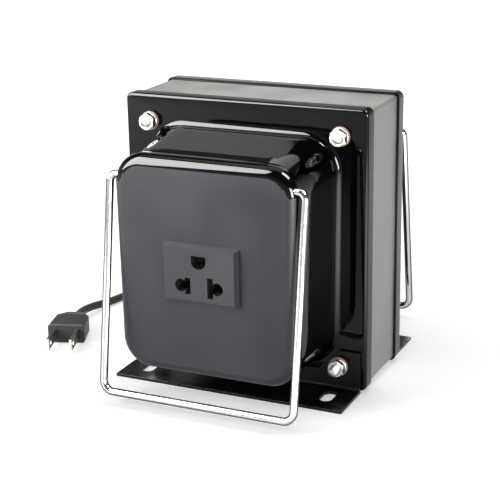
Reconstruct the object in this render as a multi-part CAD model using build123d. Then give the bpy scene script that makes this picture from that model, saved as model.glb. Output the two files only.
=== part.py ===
from build123d import *
import math
import os

# Desk-top step-up and step-down voltage converter: a laminated core held between two
# drawn steel bells, with a power outlet in the front panel and the controls at the rear.
# Millimetres. X points right, Y back and Z up. The origin lies on the table, under the
# middle of the core.

# Driving sizes of the two drawn covers
cover_width = 132.0
cover_height = 145.0
cover_rise = 1.0
sheet = 1.2
lip_depth = 8.2
cover_corner = 3.4
cover_bend = 2.4
root_margin_side = 16.2
root_margin_top = 15.1
root_margin_low = 14.45
root_corner = 17.5
root_bend = 4.0
neck_depth = 39.2
neck_drop = 5.0
neck_lift = 1.35
neck_inset = 2.3
side_slope_share = 0.010
joggle_depth = 1.6
panel_gap = 0.1

# Driving sizes of the two panels that close the bells
panel_depth = 8.0
panel_wall = 1.5
panel_proud = 0.6
panel_round = 5.5
panel_corner = 15.5

# Laminated core and coil
stack_depth = 50.9
yoke_width = 23.9
core_gap = 0.15
lamination_joint = 0.05
former_gap = 0.3
former_wall = 1.2
former_flange = 1.5
former_edge_gap = 0.5
former_corner = 4.0
inner_winding_build = 8.4
outer_winding_build = 7.6
wrap_build = 0.5
winding_end_gap = 0.2

# Through bolts with their nuts and washers
bolt_radius = 2.5
bolt_hole_radius = 2.8
bolt_side = 14.0
bolt_top = 13.7
bolt_low = 12.9
bolt_end_top = 1.4
bolt_end_low = 4.6
fibre_radius = 4.9
fibre_thick = 1.2
washer_radius = 4.5
washer_thick = 0.8
nut_flats = 8.0
nut_height = 3.2
head_height = 2.8
head_flats = 8.0
nut_bevel = 0.5

# Feet
foot_inset = 2.8
foot_reach = 27.5
foot_sheet = 1.6
foot_bend = 1.6
foot_strip = 11.1
foot_ear_height = 22.2
foot_ear_low = 22.0
foot_ear_top = 11.0
slot_width = 6.5
slot_length = 12.5
slot_side = 12.7
slot_reach = 12.7

# Bail handles
wire_radius = 2.0
bail_hole_fit = 0.3
bail_stand_off = 3.4
bail_drop = 11.5
bail_bar_height = 7.0
bail_lean = 8.8
bail_set_back = 4.0
bail_top_bend = 3.8
bail_low_bend = 5.5
bail_stub = 8.0

# Power outlet in the front panel
outlet_width = 39.7
outlet_height = 29.0
outlet_proud = 3.5
outlet_bevel = 2.4
outlet_side = -1.0
outlet_drop = 0.7
outlet_depth = 16.5
outlet_shell = 1.8
outlet_fit = 0.2
outlet_face = 5.0
outlet_back_thick = 1.6
blade_slot_width = 3.0
left_slot_height = 8.4
right_slot_height = 10.4
blade_spacing = 12.0
pin_lobe_radius = 3.2
pin_spacing = 19.2
live_drop = 5.8
ground_rise = 6.4
ground_width = 7.8
ground_height = 6.6
pocket_width = 9.6
pocket_height = 10.8
contact_sheet = 0.8
contact_height = 7.0
contact_gap = 1.4
contact_tail = 6.0
contact_tail_width = 4.0
contact_fit = 0.1
contact_set_back = 4.0

# Rear controls
control_fit = 0.2
control_side_share = 0.46
rocker_up = 21.0
rocker_width = 15.0
rocker_height = 21.0
rocker_rim = 1.8
rocker_rim_bevel = 0.6
rocker_depth = 13.0
rocker_border = 1.0
rocker_wall = 1.0
rocker_key_gap = 0.3
rocker_tilt = 8.0
rocker_pivot_depth = 1.2
rocker_key_rise = 3.6
rocker_key_dish = 1.3
rocker_key_depth = 5.0
rocker_pin_radius = 1.2
rocker_pin_length = 0.7
rocker_pin_fit = 0.05
selector_up = 21.0
selector_width = 26.0
selector_height = 11.0
selector_rim = 1.4
selector_depth = 9.0
selector_body_width = 17.0
selector_body_height = 8.4
selector_slot_width = 11.6
selector_slot_height = 5.6
selector_slot_depth = 5.0
selector_travel = 5.0
selector_knob_height = 5.0
selector_knob_rise = 1.2
selector_knob_gap = 0.3
selector_rib = 0.5
fuse_down = 15.0
fuse_side = 0.0
fuse_rim_radius = 8.0
fuse_rim = 2.2
fuse_rim_bevel = 0.6
fuse_body_radius = 6.4
fuse_depth = 20.8
fuse_bore_radius = 4.6
fuse_bore_floor = 1.6
fuse_carrier_fit = 0.08
fuse_carrier_length = 14.0
fuse_boss_radius = 3.2
fuse_boss_length = 4.2
fuse_cap_radius = 6.6
fuse_cap_height = 8.0
fuse_cap_flutes = 16
fuse_flute_radius = 0.7
fuse_cap_gap = 0.3
fuse_coin_slot = 1.4
fuse_coin_depth = 1.4
fuse_glass_radius = 2.5
fuse_glass_wall = 0.5
fuse_length = 20.0
fuse_ferrule_length = 5.0
fuse_ferrule_wall = 0.25
fuse_seat = 0.1
ring_nut_flats = 17.0
ring_nut_height = 4.0

# Terminal strip on the back of the coil
strip_width = 52.0
strip_height = 11.0
strip_thick = 1.6
strip_edge_margin = 1.0
lug_count = 5
lug_pitch = 10.5
lug_width = 4.0
lug_rise = 5.0
lug_thick = 0.6

# Mains lead with its gland, coil, tie and plug
lead_radius = 2.3
gland_reach = 28.0
gland_flange_radius = 6.4
gland_flange = 2.4
gland_neck_radius = 5.2
gland_neck_length = 4.0
gland_boot_radius = 4.8
gland_boot_end = 3.1
gland_boot_length = 24.0
gland_boot_ribs = 6
gland_rib_width = 1.6
gland_rib_depth = 0.7
coil_center_x = -99.6
coil_center_y = 118.8
coil_pitch = 5.1
coil_layer_rise = 5.1
coil_inner_radius = 18.1
coil_start_angle = 222.0
coil_leave_angle = 295.0
coil_full_turns = 6
coil_steps = 13
gland_run = 11.7
coil_entry_run = 13.2
coil_exit_run = 8.0
tie_width = 5.0
tie_thick = 0.7
tie_gap = 0.3
tie_lift = 0.1
tie_angle = 90.0
tie_head = 3.0
plug_length = 25.0
plug_width = 19.0
plug_nose_width = 21.0
plug_height = 11.0
plug_tail_width = 12.0
plug_tail_height = 8.0
plug_round = 2.0
blade_width = 6.3
blade_thick = 1.5
blade_length = 17.0
blade_centres = 12.7
blade_hole_radius = 1.5
blade_hole_end = 3.6

overrun = 2.0

# Places that follow from the driving sizes
face_y = stack_depth / 2 + sheet
shoulder_y = face_y + neck_depth
front_y = shoulder_y + panel_depth
cover_low = cover_rise
cover_high = cover_rise + cover_height
cover_middle = (cover_low + cover_high) / 2
root_low = cover_low + root_margin_low
root_high = cover_high - root_margin_top
neck_low = root_low + neck_lift
neck_high = root_high - neck_drop
panel_low = neck_low - panel_proud
panel_high = neck_high + panel_proud
root_half = cover_width / 2 - root_margin_side
neck_half = root_half - neck_inset
neck_corner = panel_corner - panel_proud
panel_half = neck_half + panel_proud
joggle_inset = panel_wall - panel_proud + panel_gap
bolt_x = cover_width / 2 - bolt_side
bolt_z_top = cover_high - bolt_top
bolt_z_low = cover_low + bolt_low
foot_front_y = face_y + foot_reach
foot_width = cover_width - 2 * foot_inset
panel_middle = (panel_low + panel_high) / 2
outlet_level = panel_middle - outlet_drop
rocker_side = -control_side_share * panel_half
rocker_level = panel_middle + rocker_up
selector_side = control_side_share * panel_half
selector_level = panel_middle + selector_up
fuse_level = panel_middle - fuse_down
bail_y = front_y - bail_set_back
bail_half = panel_half + bail_stand_off
bail_height = panel_high - bail_drop
bail_length = (bail_height - bail_bar_height) / math.cos(math.radians(bail_lean))
lead_size = 2 * lead_radius

shapes = {}


def keep(name, shape):
    """Store a sub-part under its node name."""
    shape.label = name
    shapes[name] = shape
    return shape


def station(y):
    """Upright plane at the given depth whose local x and y run along X and Z."""
    return Plane(origin=(0, y, 0), x_dir=(1, 0, 0), z_dir=(0, -1, 0))


def rear(shape):
    """The same piece turned round to the back of the core."""
    return mirror(shape, about=Plane.XZ)


def leaning_outline(half, low, high, corner, inset=0):
    """Rounded outline, a little wider at its top, drawn in by the inset all round."""
    middle = (low + high) / 2
    low_z = low + inset
    high_z = high - inset
    low_half = half - inset + side_slope_share * (low_z - middle)
    high_half = half - inset + side_slope_share * (high_z - middle)
    corners = [(-low_half, low_z), (low_half, low_z), (high_half, high_z), (-high_half, high_z)]
    face = make_face(Polyline(*corners, close=True))
    return fillet(face.vertices(), corner - inset)


def root_outline(inset=0):
    return leaning_outline(root_half, root_low, root_high, root_corner, inset)


def neck_outline(inset=0):
    return leaning_outline(neck_half, neck_low, neck_high, neck_corner, inset)


def panel_outline(inset=0):
    return leaning_outline(panel_half, panel_low, panel_high, panel_corner, inset)


def flange_outline(inset=0):
    outline = RectangleRounded(cover_width - 2 * inset, cover_height - 2 * inset, cover_corner - inset)
    return Pos(0, cover_middle) * outline


def front_face(shape, y):
    """The large face that looks forwards at the given depth."""
    faces = [f for f in shape.faces() if abs(f.center().Y - y) < sheet / 10]
    return max(faces, key=lambda f: f.area)


def bell_form(inset, bend, root_fillet, end_y, lip_y):
    """Solid of the flange with its lip and the drawn neck, for the outside or the inside."""
    face = -(face_y - inset)
    flange = extrude(station(lip_y) * flange_outline(inset), face_y - inset + lip_y)
    if bend:
        flange = fillet(front_face(flange, face).outer_wire().edges(), bend)
    neck = loft([station(face) * root_outline(inset), station(-end_y) * neck_outline(inset)])
    form = flange + neck
    return fillet(front_face(form, face).inner_wires()[0].edges(), root_fillet)


def bolt_places():
    """The four bolt centres, each with a mark that says if it holds a foot."""
    return [(x, z, z == bolt_z_low) for z in (bolt_z_low, bolt_z_top) for x in (-bolt_x, bolt_x)]


def round_rod(x, z, y0, y1, radius):
    """Cylinder along Y between two depths."""
    return extrude(station(y1) * Pos(x, z) * Circle(radius), y1 - y0)


def cut_bolt_holes(shape, y0, y1):
    for x, z, _ in bolt_places():
        shape -= round_rod(x, z, y0, y1, bolt_hole_radius)
    return shape


def pivot_rod(x0, x1, radius):
    """Cylinder along X on the front bail's pivot line."""
    plane = Plane(origin=(x0, -bail_y, bail_height), z_dir=(1, 0, 0))
    return extrude(plane * Circle(radius), x1 - x0)


def bell():
    """Drawn cover: lips round the core, flange, tapered neck and a stepped-in rim."""
    lip_y = -(face_y - lip_depth)
    outside = bell_form(0, cover_bend, root_bend, shoulder_y, lip_y)
    rim = station(-shoulder_y) * neck_outline(joggle_inset)
    outside += extrude(rim, joggle_depth)
    inside = bell_form(sheet, 0, root_bend + sheet, shoulder_y - sheet, lip_y)
    rim_bore = station(-(shoulder_y - sheet)) * neck_outline(joggle_inset + sheet)
    inside += extrude(rim_bore, joggle_depth + sheet + overrun)
    cover = outside - inside
    return cut_bolt_holes(cover, -face_y - overrun, -face_y + lip_depth)


def panel():
    """Shallow rounded pan that closes a bell, with the bail's two pivot holes."""
    outside = extrude(station(-shoulder_y) * panel_outline(), panel_depth)
    outside = fillet(front_face(outside, -front_y).outer_wire().edges(), panel_round)
    depth = panel_depth - panel_wall
    inside = extrude(station(-shoulder_y) * panel_outline(panel_wall), depth)
    inner_round = panel_round - panel_wall
    inside = fillet(front_face(inside, -shoulder_y - depth).outer_wire().edges(), inner_round)
    pan = outside - inside
    return pan - pivot_rod(-cover_width / 2, cover_width / 2, wire_radius + bail_hole_fit)


# Laminated core: E stack open to the right, closed by the I stack
core_half_width = cover_width / 2 - sheet - core_gap
core_half_height = cover_height / 2 - sheet - core_gap
window_half_length = core_half_width - yoke_width
leg_half = core_half_height - 2 * yoke_width
core_corner = cover_corner - sheet - core_gap
i_inner_x = window_half_length + lamination_joint


def core_block():
    outline = Pos(0, cover_middle) * RectangleRounded(2 * core_half_width, 2 * core_half_height, core_corner)
    return extrude(station(stack_depth / 2) * outline, stack_depth)


def slab(x0, x1, y0, y1, z0, z1):
    """Plain block between pairs of places along the three axes."""
    return Pos((x0 + x1) / 2, (y0 + y1) / 2, (z0 + z1) / 2) * Box(x1 - x0, y1 - y0, z1 - z0)


half_stack = stack_depth / 2
e_stack = core_block() - slab(
    window_half_length, core_half_width + overrun,
    -half_stack - overrun, half_stack + overrun,
    cover_low - overrun, cover_high + overrun,
)
for side in (-1, 1):
    window_z = cover_middle + side * (leg_half + yoke_width / 2)
    e_stack -= slab(
        -window_half_length, window_half_length + overrun,
        -half_stack - overrun, half_stack + overrun,
        window_z - yoke_width / 2, window_z + yoke_width / 2,
    )
i_stack = core_block() & slab(
    i_inner_x, core_half_width + overrun,
    -half_stack - overrun, half_stack + overrun,
    cover_low, cover_high,
)
keep("core_e_laminations", cut_bolt_holes(e_stack, -half_stack - overrun, half_stack + overrun))
keep("core_i_laminations", cut_bolt_holes(i_stack, -half_stack - overrun, half_stack + overrun))


# Coil former and windings round the middle leg
def coil_sleeve(start, build, half_length):
    """Rounded sleeve round the middle leg, from one build-up height to the next."""
    def ring(reach):
        height = 2 * (leg_half + reach)
        depth = 2 * (half_stack + reach)
        return RectangleRounded(depth, height, reach)
    plane = Plane(origin=(-half_length, 0, cover_middle), x_dir=(0, 1, 0), z_dir=(1, 0, 0))
    section = plane * (ring(start + build) - ring(start))
    return extrude(section, 2 * half_length)


former_half_length = window_half_length - former_gap
former_reach = yoke_width - former_edge_gap
tube_outside = former_gap + former_wall
former = coil_sleeve(former_gap, former_wall, former_half_length)
for side in (-1, 1):
    plane = Plane(
        origin=(side * (former_half_length - former_flange / 2), 0, cover_middle),
        x_dir=(0, 1, 0), z_dir=(1, 0, 0),
    )
    cheek = RectangleRounded(
        2 * (half_stack + former_reach), 2 * (leg_half + former_reach), former_corner)
    bore = RectangleRounded(2 * (half_stack + former_gap), 2 * (leg_half + former_gap), former_gap)
    former += extrude(plane * (cheek - bore), former_flange / 2, both=True)
keep("coil_former", former)

winding_half = former_half_length - former_flange - winding_end_gap
build_up = tube_outside
for name, build in (
    ("inner_winding", inner_winding_build),
    ("layer_insulation", wrap_build),
    ("outer_winding", outer_winding_build),
    ("outer_wrap", wrap_build),
):
    keep(name, coil_sleeve(build_up, build, winding_half))
    build_up += build
coil_back_y = half_stack + build_up

# Covers and panels, the rear ones turned round
front_cover = keep("front_cover", bell())
rear_cover = rear(bell())
front_panel = panel()
rear_panel = rear(panel())


# Power outlet
def face_block(width, height, x, z, y0, y1):
    """Upright block centred on a place of the panel, between two depths."""
    return slab(x - width / 2, x + width / 2, y0, y1, z - height / 2, z + height / 2)


outlet_y = -(front_y + outlet_proud)
panel_back_y = -(front_y - panel_wall)
outlet_end_y = -front_y + outlet_depth
outlet_inner_width = outlet_width - 2 * outlet_shell
outlet_inner_height = outlet_height - 2 * outlet_shell
plate = face_block(outlet_width, outlet_height, outlet_side, outlet_level, outlet_y, -front_y)
outlet_body = chamfer(front_face(plate, outlet_y).outer_wire().edges(), outlet_bevel)
outlet_body += face_block(
    outlet_inner_width, outlet_inner_height, outlet_side, outlet_level, -front_y, outlet_end_y)
pocket_y = outlet_y + outlet_face
live_z = outlet_level - live_drop
ground_z = outlet_level + ground_rise
for side, slot_height in ((-1, left_slot_height), (1, right_slot_height)):
    slot_x = outlet_side + side * blade_spacing / 2
    lobe_x = outlet_side + side * pin_spacing / 2
    slot = face_block(
        blade_slot_width, slot_height, slot_x, live_z, outlet_y - overrun, pocket_y + overrun)
    lobe = round_rod(lobe_x, live_z, outlet_y - overrun, pocket_y + overrun, pin_lobe_radius)
    pocket_x = (slot_x + lobe_x) / 2
    bridge = face_block(
        abs(lobe_x - slot_x), blade_slot_width, pocket_x, live_z,
        outlet_y - overrun, pocket_y + overrun)
    pocket = face_block(
        pocket_width, pocket_height, pocket_x, live_z, pocket_y, outlet_end_y + overrun)
    outlet_body -= slot + lobe + bridge + pocket
ground_radius = ground_width / 2
ground_round_z = ground_z - ground_height / 2 + ground_radius
ground_hole = round_rod(
    outlet_side, ground_round_z, outlet_y - overrun, pocket_y + overrun, ground_radius)
ground_hole += face_block(
    ground_width, ground_z + ground_height / 2 - ground_round_z, outlet_side,
    (ground_z + ground_height / 2 + ground_round_z) / 2, outlet_y - overrun, pocket_y + overrun)
ground_hole &= face_block(
    ground_width, ground_height, outlet_side, ground_z, outlet_y - overrun, pocket_y + overrun)
ground_pocket = face_block(
    pocket_width, ground_height, outlet_side, ground_z, pocket_y, outlet_end_y + overrun)
outlet_body -= ground_hole + ground_pocket
front_panel -= face_block(
    outlet_inner_width + 2 * outlet_fit, outlet_inner_height + 2 * outlet_fit,
    outlet_side, outlet_level, -front_y - overrun, panel_back_y + overrun)
keep("front_panel", front_panel)
keep("outlet_body", outlet_body)

outlet_back_y = outlet_end_y + outlet_back_thick
outlet_back = face_block(
    outlet_inner_width, outlet_inner_height, outlet_side, outlet_level,
    outlet_end_y, outlet_back_y)


def spring_contact(x, z, height):
    """Folded spring clip: a web on the back plate, two pinched leaves and a tail."""
    leaf_end = pocket_y + contact_set_back
    leaf_start = outlet_end_y - contact_sheet
    half = pocket_width / 2 - outlet_fit
    pinch = contact_gap / 2
    clip = face_block(2 * half, height, x, z, leaf_start, outlet_end_y)
    middle_y = (leaf_start + leaf_end) / 2
    for side in (-1, 1):
        outer = x + side * half
        nip = x + side * (pinch + contact_sheet)
        leaf = make_face(Polyline(
            (outer, leaf_start),
            (outer - side * contact_sheet, leaf_start),
            (nip - side * contact_sheet, middle_y),
            (outer - side * contact_sheet, leaf_end),
            (outer, leaf_end),
            (nip, middle_y),
            close=True,
        ))
        base = Plane(origin=(0, 0, z - height / 2), x_dir=(1, 0, 0), z_dir=(0, 0, 1))
        clip += extrude(base * leaf, height)
    tail = face_block(
        contact_sheet, contact_tail_width, x, z, outlet_end_y - contact_sheet,
        outlet_back_y + contact_tail)
    return clip + tail


for name, x, z, height in (
    ("outlet_left_contact", outlet_side - (blade_spacing + pin_spacing) / 4, live_z, contact_height),
    ("outlet_right_contact", outlet_side + (blade_spacing + pin_spacing) / 4, live_z, contact_height),
    ("outlet_ground_contact", outlet_side, ground_z, ground_height - 2 * outlet_fit),
):
    outlet_back -= face_block(
        contact_sheet + 2 * contact_fit, contact_tail_width + 2 * contact_fit, x, z,
        outlet_end_y - overrun, outlet_back_y + overrun)
    keep(name, spring_contact(x, z, height))
keep("outlet_back", outlet_back)


# Bail handles, sprung into the panels' side walls
def bail():
    lean = math.radians(bail_lean)

    def place(x, down):
        return (x, -bail_y - down * math.sin(lean), bail_height - down * math.cos(lean))

    end = bail_half - bail_stub
    points = [
        place(-end, 0), place(-bail_half, 0), place(-bail_half, bail_length),
        place(bail_half, bail_length), place(bail_half, 0), place(end, 0),
    ]
    bends = [bail_top_bend, bail_low_bend, bail_low_bend, bail_top_bend]
    path = FilletPolyline(*points, radius=bends)
    section = Plane(origin=points[0], z_dir=(-1, 0, 0)) * Circle(wire_radius)
    return sweep(section, path=path)


keep("front_bail", bail())
keep("rear_bail", rear(bail()))


# Feet: a bent strip with two ears under the lower bolts and a slot at each end
def foot():
    leg_y = -face_y - foot_sheet
    plate = slab(-foot_width / 2, foot_width / 2, -foot_front_y, -face_y, 0, foot_sheet)
    strip = slab(-foot_width / 2, foot_width / 2, leg_y, -face_y, 0, foot_strip)
    bracket = plate + strip
    inner_bend = [
        e for e in bracket.edges().filter_by(Axis.X)
        if abs(e.center().Y - leg_y) < foot_sheet / 10 and abs(e.center().Z - foot_sheet) < foot_sheet / 10
    ]
    bracket = fillet(inner_bend, foot_bend)
    for side in (-1, 1):
        end = side * foot_width / 2
        ear = make_face(Polyline(
            (end, 0), (end - side * foot_ear_low, 0), (end - side * foot_ear_low, foot_strip),
            (end - side * foot_ear_top, foot_ear_height), (end, foot_ear_height), close=True,
        ))
        bracket += extrude(station(-face_y) * ear, foot_sheet)
        slot = SlotOverall(slot_length, slot_width, rotation=90)
        place = Pos(end - side * slot_side, -face_y - slot_reach, -overrun)
        bracket -= extrude(place * slot, foot_sheet + 2 * overrun)
    return cut_bolt_holes(bracket, leg_y - overrun, -face_y + overrun)


keep("front_foot", foot())
keep("rear_foot", rear(foot()))


# Through bolts and what they clamp
def hexagon(flats, thickness, x, z, y0):
    """Six-sided prism along Y with both ends bevelled round."""
    corner = flats / math.sqrt(3)
    prism = extrude(station(y0 + thickness) * Pos(x, z) * RegularPolygon(corner, 6), thickness)
    cone = round_rod(x, z, y0, y0 + thickness, corner)
    cone = chamfer(cone.edges().filter_by(GeomType.CIRCLE), nut_bevel)
    return prism & cone


def ring_washer(x, z, y0, thickness, radius, bore):
    return round_rod(x, z, y0, y0 + thickness, radius) - round_rod(
        x, z, y0 - overrun, y0 + thickness + overrun, bore)


through_bolts, nuts, steel_washers, front_fibres, rear_fibres = [], [], [], [], []
for x, z, on_foot in bolt_places():
    seat = face_y + (foot_sheet if on_foot else 0)
    washer_y = -seat - fibre_thick - washer_thick
    nut_y = washer_y - nut_height
    tip = nut_y - (bolt_end_low if on_foot else bolt_end_top)
    head_y = seat + fibre_thick
    shank = round_rod(x, z, tip, head_y, bolt_radius)
    shank = chamfer(shank.edges().filter_by(GeomType.CIRCLE).sort_by(Axis.Y)[0], nut_bevel)
    through_bolts.append(shank + hexagon(head_flats, head_height, x, z, head_y))
    nuts.append(hexagon(nut_flats, nut_height, x, z, nut_y)
                - round_rod(x, z, nut_y - overrun, washer_y + overrun, bolt_radius))
    steel_washers.append(ring_washer(x, z, washer_y, washer_thick, washer_radius, bolt_radius))
    front_fibres.append(ring_washer(x, z, -seat - fibre_thick, fibre_thick, fibre_radius, bolt_radius))
    rear_fibres.append(ring_washer(x, z, seat, fibre_thick, fibre_radius, bolt_radius))
keep("through_bolts", Compound(children=through_bolts))
keep("bolt_nuts", Compound(children=nuts))
keep("steel_washers", Compound(children=steel_washers))
keep("front_fibre_washers", Compound(children=front_fibres))
keep("rear_fibre_washers", Compound(children=rear_fibres))


# Rear controls, drawn on the rear face whose outside lies at front_y
inside_y = front_y - panel_wall


# Rocker switch
def rocker_hole(width, height):
    return face_block(width, height, rocker_side, rocker_level, inside_y - overrun, front_y + overrun)


rocker_inner_width = rocker_width - 2 * rocker_border
rocker_inner_height = rocker_height - 2 * rocker_border
pocket_half_width = rocker_inner_width / 2 - rocker_wall
pocket_half_height = rocker_inner_height / 2 - rocker_wall
rocker_body = face_block(
    rocker_width, rocker_height, rocker_side, rocker_level, front_y, front_y + rocker_rim)
rocker_body = chamfer(
    front_face(rocker_body, front_y + rocker_rim).outer_wire().edges(), rocker_rim_bevel)
rocker_body += face_block(
    rocker_inner_width, rocker_inner_height, rocker_side, rocker_level,
    front_y - rocker_depth, front_y)
pivot_y = front_y + rocker_rim - rocker_pivot_depth
rocker_body -= face_block(
    2 * pocket_half_width, 2 * pocket_half_height, rocker_side, rocker_level,
    pivot_y - rocker_key_depth - overrun, front_y + rocker_rim + overrun)
pin_plane = Plane(origin=(rocker_side, pivot_y, rocker_level), z_dir=(1, 0, 0))
pin_half = pocket_half_width + rocker_pin_length - rocker_pin_fit
rocker_body -= extrude(
    pin_plane * Circle(rocker_pin_radius + rocker_pin_fit), pocket_half_width + rocker_pin_length,
    both=True)
rear_panel -= rocker_hole(rocker_inner_width + 2 * control_fit, rocker_inner_height + 2 * control_fit)
keep("rocker_switch_body", rocker_body)

key_reach = pocket_half_height - rocker_key_gap
key_half_width = pocket_half_width - rocker_key_gap
key_start = (rocker_side - key_half_width, pivot_y, rocker_level)
key_plane = Plane(origin=key_start, x_dir=(0, 1, 0), z_dir=(1, 0, 0))
key_profile = make_face(Polyline(
    (rocker_key_rise, -key_reach), (rocker_key_rise - rocker_key_dish, 0),
    (rocker_key_rise, key_reach), (-rocker_key_depth / 2, key_reach),
    (-rocker_key_depth, 0), (-rocker_key_depth / 2, -key_reach), close=True,
))
key_profile &= Circle(key_reach)
rocker_key = extrude(key_plane * key_profile, 2 * key_half_width)
rocker_key += extrude(pin_plane * Circle(rocker_pin_radius), pin_half, both=True)
pivot_axis = Axis((rocker_side, pivot_y, rocker_level), (1, 0, 0))
keep("rocker_key", rocker_key.rotate(pivot_axis, rocker_tilt))

# Voltage selector with its sliding knob
selector_body = face_block(
    selector_width, selector_height, selector_side, selector_level, front_y, front_y + selector_rim)
selector_body = chamfer(
    front_face(selector_body, front_y + selector_rim).outer_wire().edges(), rocker_rim_bevel)
selector_body += face_block(
    selector_body_width, selector_body_height, selector_side, selector_level,
    front_y - selector_depth, front_y)
selector_floor_y = front_y + selector_rim - selector_slot_depth
selector_body -= face_block(
    selector_slot_width, selector_slot_height, selector_side, selector_level,
    selector_floor_y, front_y + selector_rim + overrun)
rear_panel -= face_block(
    selector_body_width + 2 * control_fit, selector_body_height + 2 * control_fit,
    selector_side, selector_level, inside_y - overrun, front_y + overrun)
keep("selector_body", selector_body)
knob_width = selector_slot_width - selector_travel - 2 * selector_knob_gap
knob_x = selector_side - selector_travel / 2
knob_height = selector_slot_height - 2 * selector_knob_gap
knob_y = front_y + selector_rim + selector_knob_rise
selector_knob = face_block(
    knob_width, knob_height, knob_x, selector_level, selector_floor_y + selector_knob_gap, knob_y)
for step in (-1, 0, 1):
    groove_x = knob_x + step * 3 * selector_rib
    selector_knob -= face_block(
        selector_rib, knob_height + overrun, groove_x, selector_level,
        knob_y - selector_rib, knob_y + overrun)
keep("selector_knob", selector_knob)

# Fuse holder: body, ring nut, carrier, fluted cap and the glass fuse
fuse_end_y = front_y - fuse_depth
holder = round_rod(fuse_side, fuse_level, front_y, front_y + fuse_rim, fuse_rim_radius)
holder = chamfer(
    holder.edges().filter_by(GeomType.CIRCLE).sort_by(Axis.Y)[-1], fuse_rim_bevel)
holder += round_rod(fuse_side, fuse_level, fuse_end_y, front_y, fuse_body_radius)
bore_end_y = fuse_end_y + fuse_bore_floor
holder -= round_rod(fuse_side, fuse_level, bore_end_y, front_y + fuse_rim + overrun, fuse_bore_radius)
rear_panel -= round_rod(
    fuse_side, fuse_level, inside_y - overrun, front_y + overrun, fuse_body_radius + control_fit)
keep("fuse_holder_body", holder)
ring_nut = hexagon(ring_nut_flats, ring_nut_height, fuse_side, fuse_level, inside_y - ring_nut_height)
ring_nut -= round_rod(fuse_side, fuse_level, inside_y - ring_nut_height - overrun, inside_y + overrun,
                      fuse_body_radius)
keep("fuse_ring_nut", ring_nut)

carrier_radius = fuse_bore_radius - fuse_carrier_fit
carrier_front_y = front_y + fuse_rim
carrier_back_y = carrier_front_y - fuse_carrier_length
fuse_end_radius = fuse_glass_radius + fuse_ferrule_wall
fuse_front_y = carrier_front_y - fuse_boss_length / 4
fuse_back_y = fuse_front_y - fuse_length
carrier = round_rod(fuse_side, fuse_level, carrier_back_y, carrier_front_y, carrier_radius)
carrier += round_rod(
    fuse_side, fuse_level, carrier_front_y, carrier_front_y + fuse_boss_length, fuse_boss_radius)
carrier -= round_rod(
    fuse_side, fuse_level, carrier_back_y - overrun, fuse_front_y + fuse_seat, fuse_end_radius + fuse_seat)
keep("fuse_carrier", carrier)

glass = round_rod(
    fuse_side, fuse_level, fuse_back_y + fuse_seat, fuse_front_y - fuse_seat, fuse_glass_radius)
glass -= round_rod(
    fuse_side, fuse_level, fuse_back_y - overrun, fuse_front_y + overrun,
    fuse_glass_radius - fuse_glass_wall)
keep("fuse_glass", glass)


def ferrule(y_end, inward):
    """Metal end cup of the fuse, open towards the glass."""
    low = min(y_end, y_end + inward * fuse_ferrule_length)
    high = max(y_end, y_end + inward * fuse_ferrule_length)
    cup = round_rod(fuse_side, fuse_level, low, high, fuse_end_radius)
    floor = y_end + inward * fuse_seat
    far = y_end + inward * (fuse_ferrule_length + overrun)
    return cup - round_rod(fuse_side, fuse_level, min(floor, far), max(floor, far), fuse_glass_radius)


keep("fuse_ferrules", Compound(children=[ferrule(fuse_back_y, 1), ferrule(fuse_front_y, -1)]))

cap_y = carrier_front_y + fuse_cap_gap
cap = round_rod(fuse_side, fuse_level, cap_y, cap_y + fuse_cap_height, fuse_cap_radius)
cap = chamfer(cap.edges().filter_by(GeomType.CIRCLE).sort_by(Axis.Y)[-1], fuse_rim_bevel)
for index in range(fuse_cap_flutes):
    turn = 2 * math.pi * index / fuse_cap_flutes
    flute_x = fuse_side + fuse_cap_radius * math.cos(turn)
    flute_z = fuse_level + fuse_cap_radius * math.sin(turn)
    cap -= round_rod(flute_x, flute_z, cap_y - overrun, cap_y + fuse_cap_height + overrun,
                     fuse_flute_radius)
cap -= face_block(
    2 * fuse_cap_radius + overrun, fuse_coin_slot, fuse_side, fuse_level,
    cap_y + fuse_cap_height - fuse_coin_depth, cap_y + fuse_cap_height + overrun)
cap -= round_rod(
    fuse_side, fuse_level, cap_y - overrun, carrier_front_y + fuse_boss_length + fuse_cap_gap,
    fuse_boss_radius + fuse_carrier_fit)
keep("fuse_cap", cap)
keep("rear_panel", rear_panel)

# Terminal strip on the back of the coil, with a row of solder lugs
strip_z = cover_middle + leg_half - strip_edge_margin - strip_height / 2
strip_y = coil_back_y + strip_thick
strip = face_block(strip_width, strip_height, 0, strip_z, coil_back_y, strip_y)
lugs = []
for index in range(lug_count):
    lug_x = (index - (lug_count - 1) / 2) * lug_pitch
    lug = face_block(lug_width, lug_thick, lug_x, strip_z, strip_y, strip_y + lug_rise)
    lug += face_block(lug_width, lug_width, lug_x, strip_z, strip_y, strip_y + lug_thick)
    hole = Plane(origin=(lug_x, strip_y + lug_rise - lug_width / 2, strip_z - lug_thick - overrun))
    lug -= extrude(hole * Circle(lug_width / 4), 2 * (lug_thick + overrun))
    lugs.append(lug)
keep("terminal_strip", strip)
keep("terminal_lugs", Compound(children=lugs))

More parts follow.
